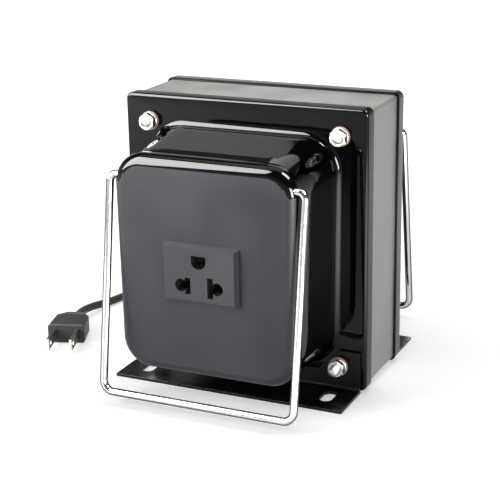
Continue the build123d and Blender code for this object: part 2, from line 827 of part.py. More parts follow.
# Cord gland in the left wall of the rear neck, square to that wall
gland_y = face_y + gland_reach
reach_share = gland_reach / neck_depth
wall_half = root_half - neck_inset * reach_share
wall_middle = ((root_low + root_high) * (1 - reach_share) + (neck_low + neck_high) * reach_share) / 2
wall_low = root_low * (1 - reach_share) + neck_low * reach_share
wall_corner = root_corner * (1 - reach_share) + neck_corner * reach_share
gland_level = wall_low + wall_corner + gland_flange_radius + panel_gap
wall_x = -(wall_half + side_slope_share * (gland_level - wall_middle))
middle_shift = ((neck_low + neck_high) - (root_low + root_high)) / 2 / neck_depth
slope_back = neck_inset / neck_depth + side_slope_share * middle_shift
gland_out = Vector(-1, slope_back, -side_slope_share).normalized()
gland_seat = Vector(wall_x, gland_y, gland_level)
gland_plane = Plane(origin=gland_seat, z_dir=gland_out)
gland = extrude(gland_plane * Circle(gland_flange_radius), gland_flange)
gland = fillet(gland.edges().filter_by(GeomType.CIRCLE).group_by(Axis.X)[0], gland_flange / 3)
gland += extrude(gland_plane * Circle(gland_neck_radius), -(sheet + gland_neck_length))
boot_plane = gland_plane.offset(gland_flange)
boot_end = gland_plane.offset(gland_flange + gland_boot_length)
boot = loft([boot_plane * Circle(gland_boot_radius), boot_end * Circle(gland_boot_end)])
rib_pitch = gland_boot_length / (gland_boot_ribs + 1)
for index in range(1, gland_boot_ribs + 1):
    along = index * rib_pitch
    radius = gland_boot_radius + (gland_boot_end - gland_boot_radius) * along / gland_boot_length
    groove = boot_plane.offset(along - gland_rib_width / 2)
    ring = Circle(gland_boot_radius + overrun) - Circle(radius - gland_rib_depth)
    boot -= extrude(groove * ring, gland_rib_width)
gland += boot
rear_cover -= extrude(
    gland_plane.offset(-2 * sheet) * Circle(gland_neck_radius + panel_gap), 4 * sheet)
keep("rear_cover", rear_cover)
keep("cord_gland", gland)


# Mains lead. Its coil is wound clockwise from above, first inwards on the upper layer and
# then outwards on the lower one, with the climb in the half turn between them.
coil_low_z = lead_radius + tie_thick + tie_gap + tie_lift
coil_high_z = coil_low_z + coil_layer_rise
turned = coil_start_angle - coil_leave_angle - 180.0
spiral_turns = (360.0 * coil_full_turns + turned % 360.0) / 720.0
spiral_angle = 360.0 * spiral_turns


def spiral_node(angle, radius, z, growth, drop=0):
    """Point and direction on the coil, for a clockwise turn whose radius changes steadily."""
    a = math.radians(angle)
    point = Vector(coil_center_x + radius * math.cos(a), coil_center_y + radius * math.sin(a), z)
    outward = Vector(math.cos(a), math.sin(a), 0)
    along = Vector(math.sin(a), -math.cos(a), 0)
    direction = (along * radius + outward * growth - Vector(0, 0, drop)).normalized()
    return point, direction


growth = coil_pitch / (2 * math.pi)
outer_radius = coil_inner_radius + coil_pitch * spiral_turns
nodes = []
for index in range(coil_steps + 1):
    share = index / coil_steps
    radius = outer_radius - coil_pitch * spiral_turns * share
    nodes.append(spiral_node(coil_start_angle - spiral_angle * share, radius, coil_high_z, -growth))
reverse_angle = coil_start_angle - spiral_angle - 90.0
reverse_radius = coil_inner_radius - growth * math.pi / 2
middle_z = (coil_low_z + coil_high_z) / 2
nodes.append(spiral_node(reverse_angle, reverse_radius, middle_z, 0, 2 * coil_layer_rise / math.pi))
for index in range(coil_steps + 1):
    share = index / coil_steps
    radius = coil_inner_radius + coil_pitch * spiral_turns * share
    angle = reverse_angle - 90.0 - spiral_angle * share
    nodes.append(spiral_node(angle, radius, coil_low_z, growth))


def biarc(start, start_direction, end, end_direction):
    """Two tangent arcs from one point and direction to the next."""
    step = end - start
    both = start_direction + end_direction
    spread = 2 * (1 - start_direction.dot(end_direction))
    along = step.dot(both)
    reach = (-along + math.sqrt(along * along + spread * step.dot(step))) / spread
    first = start + start_direction * reach
    last = end - end_direction * reach
    middle = (first + last) * 0.5
    return [
        TangentArc(start, middle, tangent=start_direction),
        TangentArc(middle, end, tangent=(last - first).normalized()),
    ]


def tube(path, start, direction):
    """Round tube of the lead along a path."""
    return sweep(Plane(origin=start, z_dir=direction) * Circle(lead_radius), path=path)


coil_in, coil_in_direction = nodes[0]
coil_out, coil_out_direction = nodes[-1]
coil_begin = coil_in - coil_in_direction * lead_size
coil_finish = coil_out + coil_out_direction * lead_size
edges = [Line(coil_begin, coil_in)]
for (p0, d0), (p1, d1) in zip(nodes[:-1], nodes[1:]):
    edges += biarc(p0, d0, p1, d1)
edges.append(Line(coil_out, coil_finish))
coil_path = Wire(edges)
lead_coil = tube(coil_path, coil_begin, coil_in_direction)
keep("lead_coil", lead_coil)


def least_self_gap(path):
    """Least gap between parts of the coil more than half a turn apart along it."""
    spacing = lead_radius
    count = int(path.length / spacing)
    points = [path.position_at(i / count) for i in range(count + 1)]
    apart = int(math.pi * coil_inner_radius / spacing)
    least = min(
        (points[i] - points[j]).length
        for i in range(count + 1) for j in range(i + apart, count + 1)
    )
    return least - lead_size


def flat_angle(direction):
    return math.degrees(math.atan2(direction.Y, direction.X))


# Free stretches of the lead, as points chosen by hand
gland_tip = gland_seat + gland_out * (gland_flange + gland_boot_length)
inlet_points = [
    gland_tip,
    gland_tip + gland_out * gland_run,
    Vector(-96.4, 60.5, 32.7),
    Vector(-104.1, 64.7, 24.5),
    Vector(-108.1, 72.2, 14.0),
    coil_begin - coil_in_direction * coil_entry_run,
    coil_begin,
]
outlet_points = [
    coil_finish,
    coil_finish + coil_out_direction * coil_exit_run,
    Vector(-106.5, 76.5, 2.6),
    Vector(-113.0, 68.0, 2.4),
    Vector(-117.2, 56.7, 2.3),
    Vector(-119.4, 48.9, 2.3),
    Vector(-121.5, 37.1, 2.8),
    Vector(-124.5, 25.0, 4.0),
    Vector(-124.6, 10.5, 5.5),
    Vector(-121.0, 0.0, 5.5),
]


def bend_radii(points):
    """Radius of each bend: 0.45 of the shorter run over the tangent of half the turn."""
    radii = []
    for before, at, after in zip(points[:-2], points[1:-1], points[2:]):
        turn = math.radians((at - before).get_angle(after - at))
        radii.append(0.45 * min((at - before).length, (after - at).length) / math.tan(turn / 2))
    return radii


def free_stretch(name, points):
    radii = bend_radii(points)
    path = FilletPolyline(*points, radius=radii)
    solid = keep(name, tube(path, points[0], points[1] - points[0]))
    length = sum(e.length for e in path.edges())
    ratio = solid.volume / (math.pi * lead_radius ** 2 * length)
    runs = [round((b - a).length, 1) for a, b in zip(points[:-1], points[1:])]
    print(name, "length", round(length, 1), "radii", [round(r, 1) for r in radii], "runs", runs,
          "volume ratio", round(ratio, 4))
    return length


lead_length = free_stretch("lead_from_gland", inlet_points)
lead_length += free_stretch("lead_to_plug", outlet_points)
coil_ratio = lead_coil.volume / (math.pi * lead_radius ** 2 * coil_path.length)
print("lead_coil length", round(coil_path.length, 1), "turns", round(2 * spiral_turns + 0.5, 2),
      "volume ratio", round(coil_ratio, 4), "least gap to itself", round(least_self_gap(coil_path), 3))
print("whole lead", round(lead_length + coil_path.length, 1))

# Tie round the far side of the coil
tie_in = reverse_radius - lead_radius - tie_gap
outer_at_tie = outer_radius - coil_pitch * (coil_start_angle - tie_angle) / 360.0
tie_out = outer_at_tie + lead_radius + tie_gap
tie_low = coil_low_z - lead_radius - tie_gap
tie_high = coil_high_z + lead_radius + tie_gap
tie_plane = Plane(
    origin=(coil_center_x, coil_center_y, 0), x_dir=(0, 1, 0), z_dir=(1, 0, 0))
tie_middle = Pos((tie_in + tie_out) / 2, (tie_low + tie_high) / 2)
tie_bore = RectangleRounded(tie_out - tie_in, tie_high - tie_low, lead_radius)
tie_band = RectangleRounded(
    tie_out - tie_in + 2 * tie_thick, tie_high - tie_low + 2 * tie_thick, lead_radius + tie_thick)
tie = extrude(tie_plane * tie_middle * (tie_band - tie_bore), tie_width / 2, both=True)
head_y = coil_center_y + (tie_in + tie_out) / 2
tie += slab(
    coil_center_x - tie_width / 2, coil_center_x + tie_width / 2,
    head_y - tie_head, head_y + tie_head,
    tie_high + tie_thick / 2, tie_high + tie_head)
keep("lead_tie", tie)

# Moulded two-blade plug lying on its flat side
plug_back = outlet_points[-1]
plug_direction = outlet_points[-1] - outlet_points[-2]
plug_direction = Vector(plug_direction.X, plug_direction.Y, 0).normalized()
side_direction = Vector(-plug_direction.Y, plug_direction.X, 0)
plug_plane = Plane(origin=plug_back, x_dir=side_direction, z_dir=plug_direction)
tail = plug_plane * RectangleRounded(plug_tail_width, plug_tail_height, plug_round)
waist = plug_plane.offset(plug_length / 3) * RectangleRounded(plug_width, plug_height, plug_round)
nose = plug_plane.offset(plug_length) * RectangleRounded(plug_nose_width, plug_height, plug_round)
plug_body = loft([tail, waist], ruled=True) + loft([waist, nose], ruled=True)
blades = []
for side in (-1, 1):
    section = plug_plane.offset(plug_length) * Pos(side * blade_centres / 2, 0) * Rectangle(
        blade_thick, blade_width)
    blade = extrude(section, blade_length)
    hole_origin = (plug_back + plug_direction * (plug_length + blade_length - blade_hole_end)
                   + side_direction * (side * blade_centres / 2 - blade_thick))
    blade -= extrude(Plane(origin=hole_origin, z_dir=side_direction) * Circle(blade_hole_radius),
                     2 * blade_thick)
    blades.append(blade)
keep("plug_body", plug_body)
keep("plug_blades", Compound(children=blades))

os.makedirs("parts", exist_ok=True)
for name, shape in shapes.items():
    export_step(shape, f"parts/{name}.step")
print("nodes", len(shapes), "bail lean", round(bail_lean, 2), "bail pivot y", round(bail_y, 2))
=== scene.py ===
# %% [markdown]
# # A desk-top voltage converter
# A laminated steel core is held between two drawn steel bells. The bells are enamelled gloss
# black, each is closed by a rounded cap, and a bright wire bail hangs on each cap. This
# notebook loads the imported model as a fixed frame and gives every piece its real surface.

# %% Load the frame
import math

import bmesh
import bpy
from mathutils import Matrix, Vector
from mathutils.bvhtree import BVHTree


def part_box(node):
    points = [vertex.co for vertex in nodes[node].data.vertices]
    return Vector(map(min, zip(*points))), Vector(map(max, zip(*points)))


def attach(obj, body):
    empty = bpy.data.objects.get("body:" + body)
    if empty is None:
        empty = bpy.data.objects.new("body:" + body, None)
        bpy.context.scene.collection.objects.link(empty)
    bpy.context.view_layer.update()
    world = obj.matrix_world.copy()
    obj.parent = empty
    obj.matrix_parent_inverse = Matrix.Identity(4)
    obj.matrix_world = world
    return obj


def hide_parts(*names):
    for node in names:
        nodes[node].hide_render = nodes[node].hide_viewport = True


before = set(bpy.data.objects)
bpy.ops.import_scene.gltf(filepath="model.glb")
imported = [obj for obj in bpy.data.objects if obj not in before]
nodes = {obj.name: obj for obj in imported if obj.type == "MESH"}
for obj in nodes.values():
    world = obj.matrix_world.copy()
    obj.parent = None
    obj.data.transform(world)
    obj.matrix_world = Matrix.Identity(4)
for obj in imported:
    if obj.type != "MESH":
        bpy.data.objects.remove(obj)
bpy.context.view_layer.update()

MM = 0.001

# %% [markdown]
# ## The camera
# The viewpoint was found from the photograph: a long lens about 0.64 m away, 25 degrees to the
# right of the outlet and a little above it. A camera can be turned with three angles, but a
# matrix made from where it looks and which way is up is easier to check.

# %% Camera
EYE = Vector((0.28191, -0.62567, 0.27930))
AIM = Vector((0.02484, -0.07400, 0.08578))
TILT = math.radians(-0.986)
SENSOR, FOCAL_LENGTH = 36.0, 98.11


def put_in_scene(name, data):
    """A new object for a mesh, a curve, a lamp or a camera, linked to the scene."""
    obj = bpy.data.objects.new(name, data)
    bpy.context.scene.collection.objects.link(obj)
    return obj


forward = (AIM - EYE).normalized()
level_right = forward.cross(Vector((0, 0, 1))).normalized()
level_up = level_right.cross(forward)
right = level_right * math.cos(TILT) + level_up * math.sin(TILT)
up = level_up * math.cos(TILT) - level_right * math.sin(TILT)
lens = bpy.data.cameras.new("studio_camera")
lens.sensor_width = SENSOR
lens.lens = FOCAL_LENGTH
camera = put_in_scene("studio_camera", lens)
camera.matrix_world = Matrix.Translation(EYE) @ Matrix((right, up, -forward)).transposed().to_4x4()
bpy.context.scene.camera = camera
print("camera to aim", round((AIM - EYE).length, 3))

# %% [markdown]
# ## Helpers for nodes
# Materials, light and shapes that follow a rule are all trees of nodes. With a helper that
# adds a node and one that joins nodes, a tree reads as a list of its nodes and its wires.

# %% Node helpers
COLOUR, NUMBER, GEOMETRY = "NodeSocketColor", "NodeSocketFloat", "NodeSocketGeometry"


def add_node(tree, kind, inputs=None, **settings):
    """A new node with its settings, and with values on some of its inputs."""
    node = tree.nodes.new(kind)
    for setting, value in settings.items():
        setattr(node, setting, value)
    for socket, value in (inputs or {}).items():
        node.inputs[socket].default_value = value
    return node


def wire(tree, *links):
    """Join nodes; each link is (node, its output, next node, its input)."""
    for source, output, target, into in links:
        tree.links.new(source.outputs[output], target.inputs[into])


def make_tree(name, inputs, output, kind="ShaderNodeTree"):
    """A tree with its inputs, each (title, socket, value), and its output (title, socket)."""
    tree = bpy.data.node_groups.new(name, kind)
    for title, socket_type, value in inputs:
        socket = tree.interface.new_socket(title, in_out="INPUT", socket_type=socket_type)
        if value is not None:
            socket.default_value = value
    tree.interface.new_socket(output[0], in_out="OUTPUT", socket_type=output[1])
    return tree, add_node(tree, "NodeGroupInput"), add_node(tree, "NodeGroupOutput")


# %% [markdown]
# ## Shared effects
# Real finishes are never even. Three small node groups give that unevenness to every material:
# one mixes two colours in soft patches, one moves a value such as roughness between two limits,
# and one makes a fine height for bump. They read Object coordinates, so the pattern keeps its
# size whatever the mesh is.

# %% Node groups
def soft_noise(tree, start, detail):
    """Cloudy noise on Object coordinates, at the group's own Scale."""
    place = add_node(tree, "ShaderNodeTexCoord")
    noise = add_node(tree, "ShaderNodeTexNoise", {"Detail": detail})
    wire(tree, (place, "Object", noise, "Vector"), (start, "Scale", noise, "Scale"))
    return noise


patches, start, end = make_tree(
    "soft_patches",
    [("Colour A", COLOUR, (0.5, 0.5, 0.5, 1)), ("Colour B", COLOUR, (0.4, 0.4, 0.4, 1)),
     ("Scale", NUMBER, 60.0)],
    ("Colour", COLOUR))
mix = add_node(patches, "ShaderNodeMix", data_type="RGBA")
wire(patches,
     (soft_noise(patches, start, 4.0), "Fac", mix, "Factor"),
     (start, "Colour A", mix, "A"), (start, "Colour B", mix, "B"),
     (mix, "Result", end, "Colour"))

between, start, end = make_tree(
    "between_limits", [("Low", NUMBER, 0.2), ("High", NUMBER, 0.4), ("Scale", NUMBER, 40.0)],
    ("Value", NUMBER))
spread = add_node(between, "ShaderNodeMapRange", {"From Min": 0.3, "From Max": 0.7})
wire(between,
     (soft_noise(between, start, 3.0), "Fac", spread, "Value"),
     (start, "Low", spread, "To Min"), (start, "High", spread, "To Max"),
     (spread, "Result", end, "Value"))

grain, start, end = make_tree("fine_grain", [("Scale", NUMBER, 900.0)], ("Height", NUMBER))
wire(grain, (soft_noise(grain, start, 2.0), "Fac", end, "Height"))
print("groups", [group.name for group in bpy.data.node_groups])

# %% [markdown]
# ## A recipe for a finish
# Each material is the Principled shader with these groups in front of it. What is the same all
# over, such as metallic or specular, is set on the shader's own socket. What changes over the
# surface comes through a group.

# %% Finish recipe
SHADER = "Principled BSDF"
ROUGHNESS_SCALE = 40.0


def finish(name, colour, other, rough, grains, patch_scale=60.0, metallic=0.0, specular=0.5):
    """A procedural material; rough is (low, high), and grains is (scale, depth in mm)."""
    material = bpy.data.materials.new(name)
    material.use_nodes = True
    tree = material.node_tree
    shader = tree.nodes[SHADER]
    shader.inputs["Metallic"].default_value = metallic
    shader.inputs["Specular IOR Level"].default_value = specular
    tone = add_node(
        tree, "ShaderNodeGroup", node_tree=patches,
        inputs={"Colour A": (*colour, 1), "Colour B": (*other, 1), "Scale": patch_scale})
    sheen = add_node(
        tree, "ShaderNodeGroup", node_tree=between,
        inputs={"Low": rough[0], "High": rough[1], "Scale": ROUGHNESS_SCALE})
    fine = add_node(tree, "ShaderNodeGroup", {"Scale": grains[0]}, node_tree=grain)
    bump = add_node(tree, "ShaderNodeBump", {"Strength": 1.0, "Distance": grains[1] * MM}, name="bump")
    wire(tree,
         (tone, "Colour", shader, "Base Color"), (sheen, "Value", shader, "Roughness"),
         (fine, "Height", bump, "Height"), (bump, "Normal", shader, "Normal"))
    return material


# %% [markdown]
# ## Two effects on top of a finish
# Stacked sheets and the turns of a winding show fine parallel lines. A wave texture feeds a bump and
# darkens the colour between them. Bright round wire shows a dark outline, because its rim mirrors what
# lies far to the side; Layer Weight finds that rim, and the dark outline is painted into the colour as a
# painted reflection. Both effects end by multiplying the finish's colour.

# %% Lines and rims
BAND_PITCH = 0.314
RIM_FROM, RIM_TO = 0.14, 0.42


def shade_colour(tree, mask, output, limits, **settings):
    """Multiply a finish's colour by a mask that Map Range brings between limits."""
    shader = tree.nodes[SHADER]
    colour = shader.inputs["Base Color"].links[0].from_socket
    ranged = add_node(tree, "ShaderNodeMapRange", limits, **settings)
    darker = add_node(tree, "ShaderNodeMix", {"Factor": 1.0}, data_type="RGBA", blend_type="MULTIPLY")
    tree.links.new(colour, darker.inputs["A"])
    wire(tree,
         (mask, output, ranged, "Value"), (ranged, "Result", darker, "B"),
         (darker, "Result", shader, "Base Color"))


def add_lines(material, direction, pitch, depth, shade):
    """Fine parallel lines on a finish; pitch and depth are in millimetres."""
    tree = material.node_tree
    place = add_node(tree, "ShaderNodeTexCoord")
    wave = add_node(tree, "ShaderNodeTexWave", {"Scale": BAND_PITCH / (pitch * MM)},
                    wave_type="BANDS", bands_direction=direction)
    lines = add_node(tree, "ShaderNodeBump", {"Distance": depth * MM})
    wire(tree,
         (place, "Object", wave, "Vector"), (wave, "Fac", lines, "Height"),
         (tree.nodes["bump"], "Normal", lines, "Normal"),
         (lines, "Normal", tree.nodes[SHADER], "Normal"))
    shade_colour(tree, wave, "Fac", {"To Min": 1.0 - shade})


def paint_rim_reflection(material, rim):
    """Paint a dark reflection into a finish's colour where it turns away from the eye."""
    tree = material.node_tree
    facing = add_node(tree, "ShaderNodeLayerWeight", {"Blend": 0.5})
    limits = {"From Min": RIM_FROM, "From Max": RIM_TO, "To Min": 1.0, "To Max": rim}
    shade_colour(tree, facing, "Facing", limits, interpolation_type="SMOOTHSTEP")


# %% [markdown]
# ## The finishes of this converter
# The bells are stove-enamelled, so the black is deep and mirror-like with a faint orange peel.
# The caps' faces are a satin dark grey. The wire is chromed, the nuts are zinc plated, and the
# washers are red fibre. Two close colours keep a surface from being one flat tone.

# %% Outer finishes
enamel = finish("gloss_black_enamel", (0.0015, 0.0014, 0.0018), (0.0030, 0.0028, 0.0034),
                (0.03, 0.07), (220, 0.010), specular=0.16)
foot_enamel = finish("black_foot_enamel", (0.0025, 0.0024, 0.0028), (0.0050, 0.0048, 0.0054),
                     (0.20, 0.32), (500, 0.012), specular=0.15)
satin = finish("satin_grey_face", (0.018, 0.016, 0.025), (0.024, 0.021, 0.032),
               (0.38, 0.48), (1800, 0.020), patch_scale=25.0, specular=0.24)
outlet_grey = finish("moulded_outlet_grey", (0.040, 0.038, 0.045), (0.050, 0.047, 0.055),
                     (0.30, 0.40), (1500, 0.015), patch_scale=200.0, specular=0.28)
core_steel = finish("varnished_sheet_edges", (0.30, 0.30, 0.286), (0.265, 0.265, 0.253),
                    (0.40, 0.54), (700, 0.020), patch_scale=35.0, metallic=0.35)
add_lines(core_steel, "Y", pitch=0.5, depth=0.010, shade=0.06)
chrome = finish("bright_chrome", (0.62, 0.62, 0.63), (0.56, 0.56, 0.57),
                (0.04, 0.10), (500, 0.004), metallic=1.0)
zinc = finish("bright_zinc", (0.58, 0.58, 0.53), (0.46, 0.47, 0.43),
              (0.34, 0.50), (1500, 0.010), patch_scale=300.0, metallic=0.8)
# Chrome and zinc get a painted reflection: their colour is darkened towards the rim.
for metal in (chrome, zinc):
    paint_rim_reflection(metal, 0.12)
fibre = finish("red_fibre", (0.70, 0.27, 0.18), (0.82, 0.42, 0.32),
               (0.45, 0.60), (1400, 0.030), patch_scale=400.0)
moulded = finish("moulded_black", (0.008, 0.008, 0.009), (0.012, 0.012, 0.012),
                 (0.24, 0.32), (1200, 0.010), specular=0.4)
rubber = finish("lead_sheath", (0.010, 0.010, 0.010), (0.016, 0.015, 0.015),
                (0.42, 0.55), (1500, 0.020), patch_scale=120.0, specular=0.35)
ink = finish("white_marks", (0.75, 0.75, 0.74), (0.68, 0.68, 0.67), (0.50, 0.60), (800, 0.010))
print("outer finishes", [material.name for material in bpy.data.materials])

# %% [markdown]
# ## Finishes inside
# The coil, the contacts and the fuse are hidden, but whoever uses the part may open it or cut it
# through, so they get their real finishes too. The contacts' brass is much darker than bright brass, as
# painted shade that keeps the outlet's holes dark.

# %% Inner finishes
# Painted shade: this brass is much darker than real brass, so the contacts read dark inside the outlet's
# holes.
shaded_brass = finish("brass_darkened_for_painted_shade", (0.24, 0.17, 0.08), (0.18, 0.12, 0.06),
               (0.30, 0.45), (900, 0.010), patch_scale=200.0, metallic=1.0)
copper = finish("enamelled_wire", (0.52, 0.20, 0.09), (0.42, 0.15, 0.07),
                (0.28, 0.40), (900, 0.010), metallic=0.6)
add_lines(copper, "X", pitch=1.2, depth=0.2, shade=0.4)
film = finish("insulation_film", (0.66, 0.52, 0.20), (0.60, 0.46, 0.17), (0.20, 0.35), (500, 0.030))
nylon = finish("former_nylon", (0.70, 0.68, 0.60), (0.64, 0.62, 0.55), (0.40, 0.50), (600, 0.020))
board = finish("paper_board", (0.40, 0.23, 0.10), (0.34, 0.19, 0.08), (0.45, 0.60), (500, 0.040))
glass = finish("fuse_glass", (0.92, 0.96, 0.95), (0.90, 0.94, 0.93), (0.02, 0.05), (200, 0.002))
glass.node_tree.nodes[SHADER].inputs["Transmission Weight"].default_value = 1.0
print("materials", len(bpy.data.materials))

# %% [markdown]
# ## Putting finishes on the frame's own solids
# Where a CAD solid already has the right shape, it stays and gets its material. The other
# pieces, whose reflections or edges need more, get a mesh of their own further down.

# %% Materials for CAD nodes
looks = (
    (core_steel, ["core_e_laminations", "core_i_laminations"]),
    (nylon, ["coil_former"]),
    (copper, ["inner_winding", "outer_winding"]),
    (film, ["layer_insulation", "outer_wrap"]),
    (shaded_brass, ["outlet_left_contact", "outlet_right_contact", "outlet_ground_contact"]),
    (moulded, ["outlet_back", "fuse_ring_nut", "fuse_carrier"]),
    (glass, ["fuse_glass"]),
    (zinc, ["fuse_ferrules", "terminal_lugs"]),
    (board, ["terminal_strip"]),
)
for material, names in looks:
    for name in names:
        nodes[name].data.materials.clear()
        nodes[name].data.materials.append(material)
print("dressed", sum(len(names) for _, names in looks), "of", len(nodes))

# %% [markdown]
# ## Making a piece
# A finished piece's object stays at the origin and its place is in its mesh, so the model can move it
# with its body. The first helper makes the object, smooths it up to its real corners and lets it ride.
# The others work on meshes.

# %% Piece helpers
def add_piece(name, mesh, body, materials, replaces=(), sharp=35.0):
    """Make a piece of a mesh on a body, in place of the named nodes."""
    obj = put_in_scene(name, mesh)
    if list(mesh.materials) != list(materials):
        mesh.materials.clear()
        for material in materials:
            mesh.materials.append(material)
    mesh.shade_smooth()
    mesh.set_sharp_from_angle(angle=math.radians(sharp))
    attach(obj, body)
    if replaces:
        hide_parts(*replaces)
    print(name, "faces", len(mesh.polygons))
    return obj


def reshape(mesh, change):
    """A mesh after change(bm) has worked on it."""
    bm = bmesh.new()
    bm.from_mesh(mesh)
    change(bm)
    bm.to_mesh(mesh)
    bm.free()
    return mesh


def mesh_of(name, build):
    """A new mesh filled by build(bm)."""
    return reshape(bpy.data.meshes.new(name), build)


def plain_mesh(obj):
    """What an object's modifiers make, as a mesh with no modifiers."""
    bpy.context.view_layer.update()
    return bpy.data.meshes.new_from_object(obj.evaluated_get(bpy.context.evaluated_depsgraph_get()))


def frame_box(node):
    """Lowest and highest corners of a node of the frame, in millimetres."""
    low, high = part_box(node)
    return low / MM, high / MM


# %% [markdown]
# ## Drawn shapes
# A bell and its cap are pressed from sheet. Boxes with bevels would give wrong highlights, so
# each shell is skinned over rings: rounded outlines, one to a depth, with the same number of
# points in each, so that quads join them.

# %% Rings
CORNER_STEPS, SIDE_STEPS = 14, 10
SMALLEST_CORNER = 0.05
CORNERS = ((1, 1, 90), (1, -1, 0), (-1, -1, -90), (-1, 1, -180))
SIDES = ((-1, "front"), (1, "rear"))


def ring_points(half, low, high, corner, lean, inset, depth, side):
    """One closed ring of a drawn shape; side is -1 at the front and 1 at the rear."""
    middle = (low + high) / 2
    wide, tall = half - inset, (high - low) / 2 - inset
    radius = max(corner - inset, SMALLEST_CORNER)
    arcs = []
    for side_x, side_z, first in CORNERS:
        arc = []
        for step in range(CORNER_STEPS + 1):
            angle = math.radians(first - 90 * step / CORNER_STEPS)
            arc.append((side_x * (wide - radius) + radius * math.cos(angle),
                        side_z * (tall - radius) + radius * math.sin(angle)))
        arcs.append(arc)
    points = []
    for arc, following in zip(arcs, arcs[1:] + arcs[:1]):
        points += arc
        for step in range(1, SIDE_STEPS):
            share = step / SIDE_STEPS
            points.append(tuple(a + (b - a) * share for a, b in zip(arc[-1], following[0])))
    return [Vector((x * (1 + lean * z / half), side * depth, middle + z)) * MM for x, z in points]


def skin(bm, rings, loop=True):
    """Quads from ring to ring; a shell that isn't a loop gets a face over each end."""
    rows = [[bm.verts.new(point) for point in ring] for ring in rings]
    count = len(rows[0])
    for a, b in zip(rows, rows[1:] + (rows[:1] if loop else [])):
        for i in range(count):
            j = (i + 1) % count
            bm.faces.new((a[i], a[j], b[j], b[i]))
    if not loop:
        bm.faces.new(rows[0])
        bm.faces.new(rows[-1])
    bmesh.ops.recalc_face_normals(bm, faces=bm.faces)


def shell(name, rings, loop=True):
    """A mesh skinned over rings."""
    return mesh_of(name, lambda bm: skin(bm, rings, loop))


def quarter(steps):
    """Sine and one minus cosine for each step of a quarter turn."""
    angles = [math.pi / 2 * i / steps for i in range(steps + 1)]
    return [(math.sin(a), 1 - math.cos(a)) for a in angles]


print("points in a ring", 4 * (CORNER_STEPS + 1) + 4 * (SIDE_STEPS - 1))

# %% [markdown]
# ## Drawn bells
# A bell has a flange with lips turned back over the core, and a neck drawn out of it with a
# soft root. Its rings run from the lip's end over the flange and up the neck, round the rim for
# the cap and back along the inner face, so the wall is as even as the sheet was. Each outline
# is given by how far it stands in from the one before.

# %% Bells
SHEET, JOGGLE, STEP_IN = 1.2, 1.6, 1.0
LEAN, LIP_BEND, ROOT_BEND = 0.010, 1.5, 3.0
EDGE = 0.3
ROOT_SIDE, ROOT_FOOT, ROOT_TOP = 16.2, 14.45, 15.1
TAPER_SIDE, TAPER_FOOT, TAPER_TOP = 2.3, 1.35, 5.0
FLANGE_CORNER, ROOT_CORNER, NECK_CORNER = 3.4, 17.5, 14.9
NECK_STEPS = 8

bell_low, bell_high = frame_box("front_cover")
FACE = frame_box("core_e_laminations")[1].y + SHEET
SHOULDER = -bell_low.y - JOGGLE
LIP_END = -bell_high.y
FLANGE = dict(half=bell_high.x, low=bell_low.z, high=bell_high.z, corner=FLANGE_CORNER, lean=0.0)
ROOT = dict(half=bell_high.x - ROOT_SIDE, low=bell_low.z + ROOT_FOOT, high=bell_high.z - ROOT_TOP,
            corner=ROOT_CORNER, lean=LEAN)
NECK = dict(half=ROOT["half"] - TAPER_SIDE, low=ROOT["low"] + TAPER_FOOT, high=ROOT["high"] - TAPER_TOP,
            corner=NECK_CORNER, lean=LEAN)
print("face", round(FACE, 2), "shoulder", round(SHOULDER, 2), "lip end", round(LIP_END, 2))


def neck_at(depth):
    """The neck's outline part of the way from its root to its shoulder."""
    share = (depth - FACE) / (SHOULDER - FACE)
    return {key: ROOT[key] + (NECK[key] - ROOT[key]) * share for key in ROOT}


def bell_rings(side):
    rings = []

    def ring(outline, inset, depth):
        rings.append(ring_points(inset=inset, depth=depth, side=side, **outline))

    ring(FLANGE, SHEET, LIP_END)
    ring(FLANGE, EDGE, LIP_END)
    ring(FLANGE, 0.0, LIP_END + EDGE)
    for rise, back in quarter(7):
        ring(FLANGE, LIP_BEND * back, FACE - LIP_BEND + LIP_BEND * rise)
    ring(ROOT, -ROOT_BEND - EDGE, FACE)
    for rise, back in quarter(8):
        ring(neck_at(FACE + ROOT_BEND * back), -ROOT_BEND * (1 - rise), FACE + ROOT_BEND * back)
    straight = FACE + ROOT_BEND
    for step in range(1, NECK_STEPS + 1):
        depth = straight + (SHOULDER - straight) * step / NECK_STEPS
        ring(neck_at(depth), 0, depth)
    ring(NECK, STEP_IN, SHOULDER)
    ring(NECK, STEP_IN, SHOULDER + JOGGLE)
    ring(NECK, STEP_IN + SHEET, SHOULDER + JOGGLE)
    ring(NECK, STEP_IN + SHEET, SHOULDER - SHEET)
    ring(NECK, SHEET, SHOULDER - SHEET)
    inner_bend = ROOT_BEND + SHEET
    for rise, back in reversed(quarter(5)):
        ring(neck_at(FACE), SHEET - inner_bend * (1 - rise), FACE - SHEET + inner_bend * back)
    ring(FLANGE, SHEET, FACE - SHEET)
    return rings


for side, word in SIDES:
    bell = shell(f"{word}_bell", bell_rings(side))
    add_piece(f"{word}_bell", bell, "chassis", [enamel], [f"{word}_cover"], sharp=40.0)

# %% [markdown]
# ## Cutting openings
# The caps are cut for the outlet, the controls and the ends of the bails. Boolean modifiers
# take the cutters out, the result becomes a plain mesh, and slivers of no size are dissolved.

# %% Cutters
CUTTER_SIDES = 64
SLIVER = 0.002 * MM


def block(low, high):
    """A closed box between two corners in millimetres."""
    def build(bm):
        bmesh.ops.create_cube(bm, size=1.0)
        for vert in bm.verts:
            vert.co = Vector([(a if c < 0 else b) * MM for c, a, b in zip(vert.co, low, high)])
    return mesh_of("cutter", build)


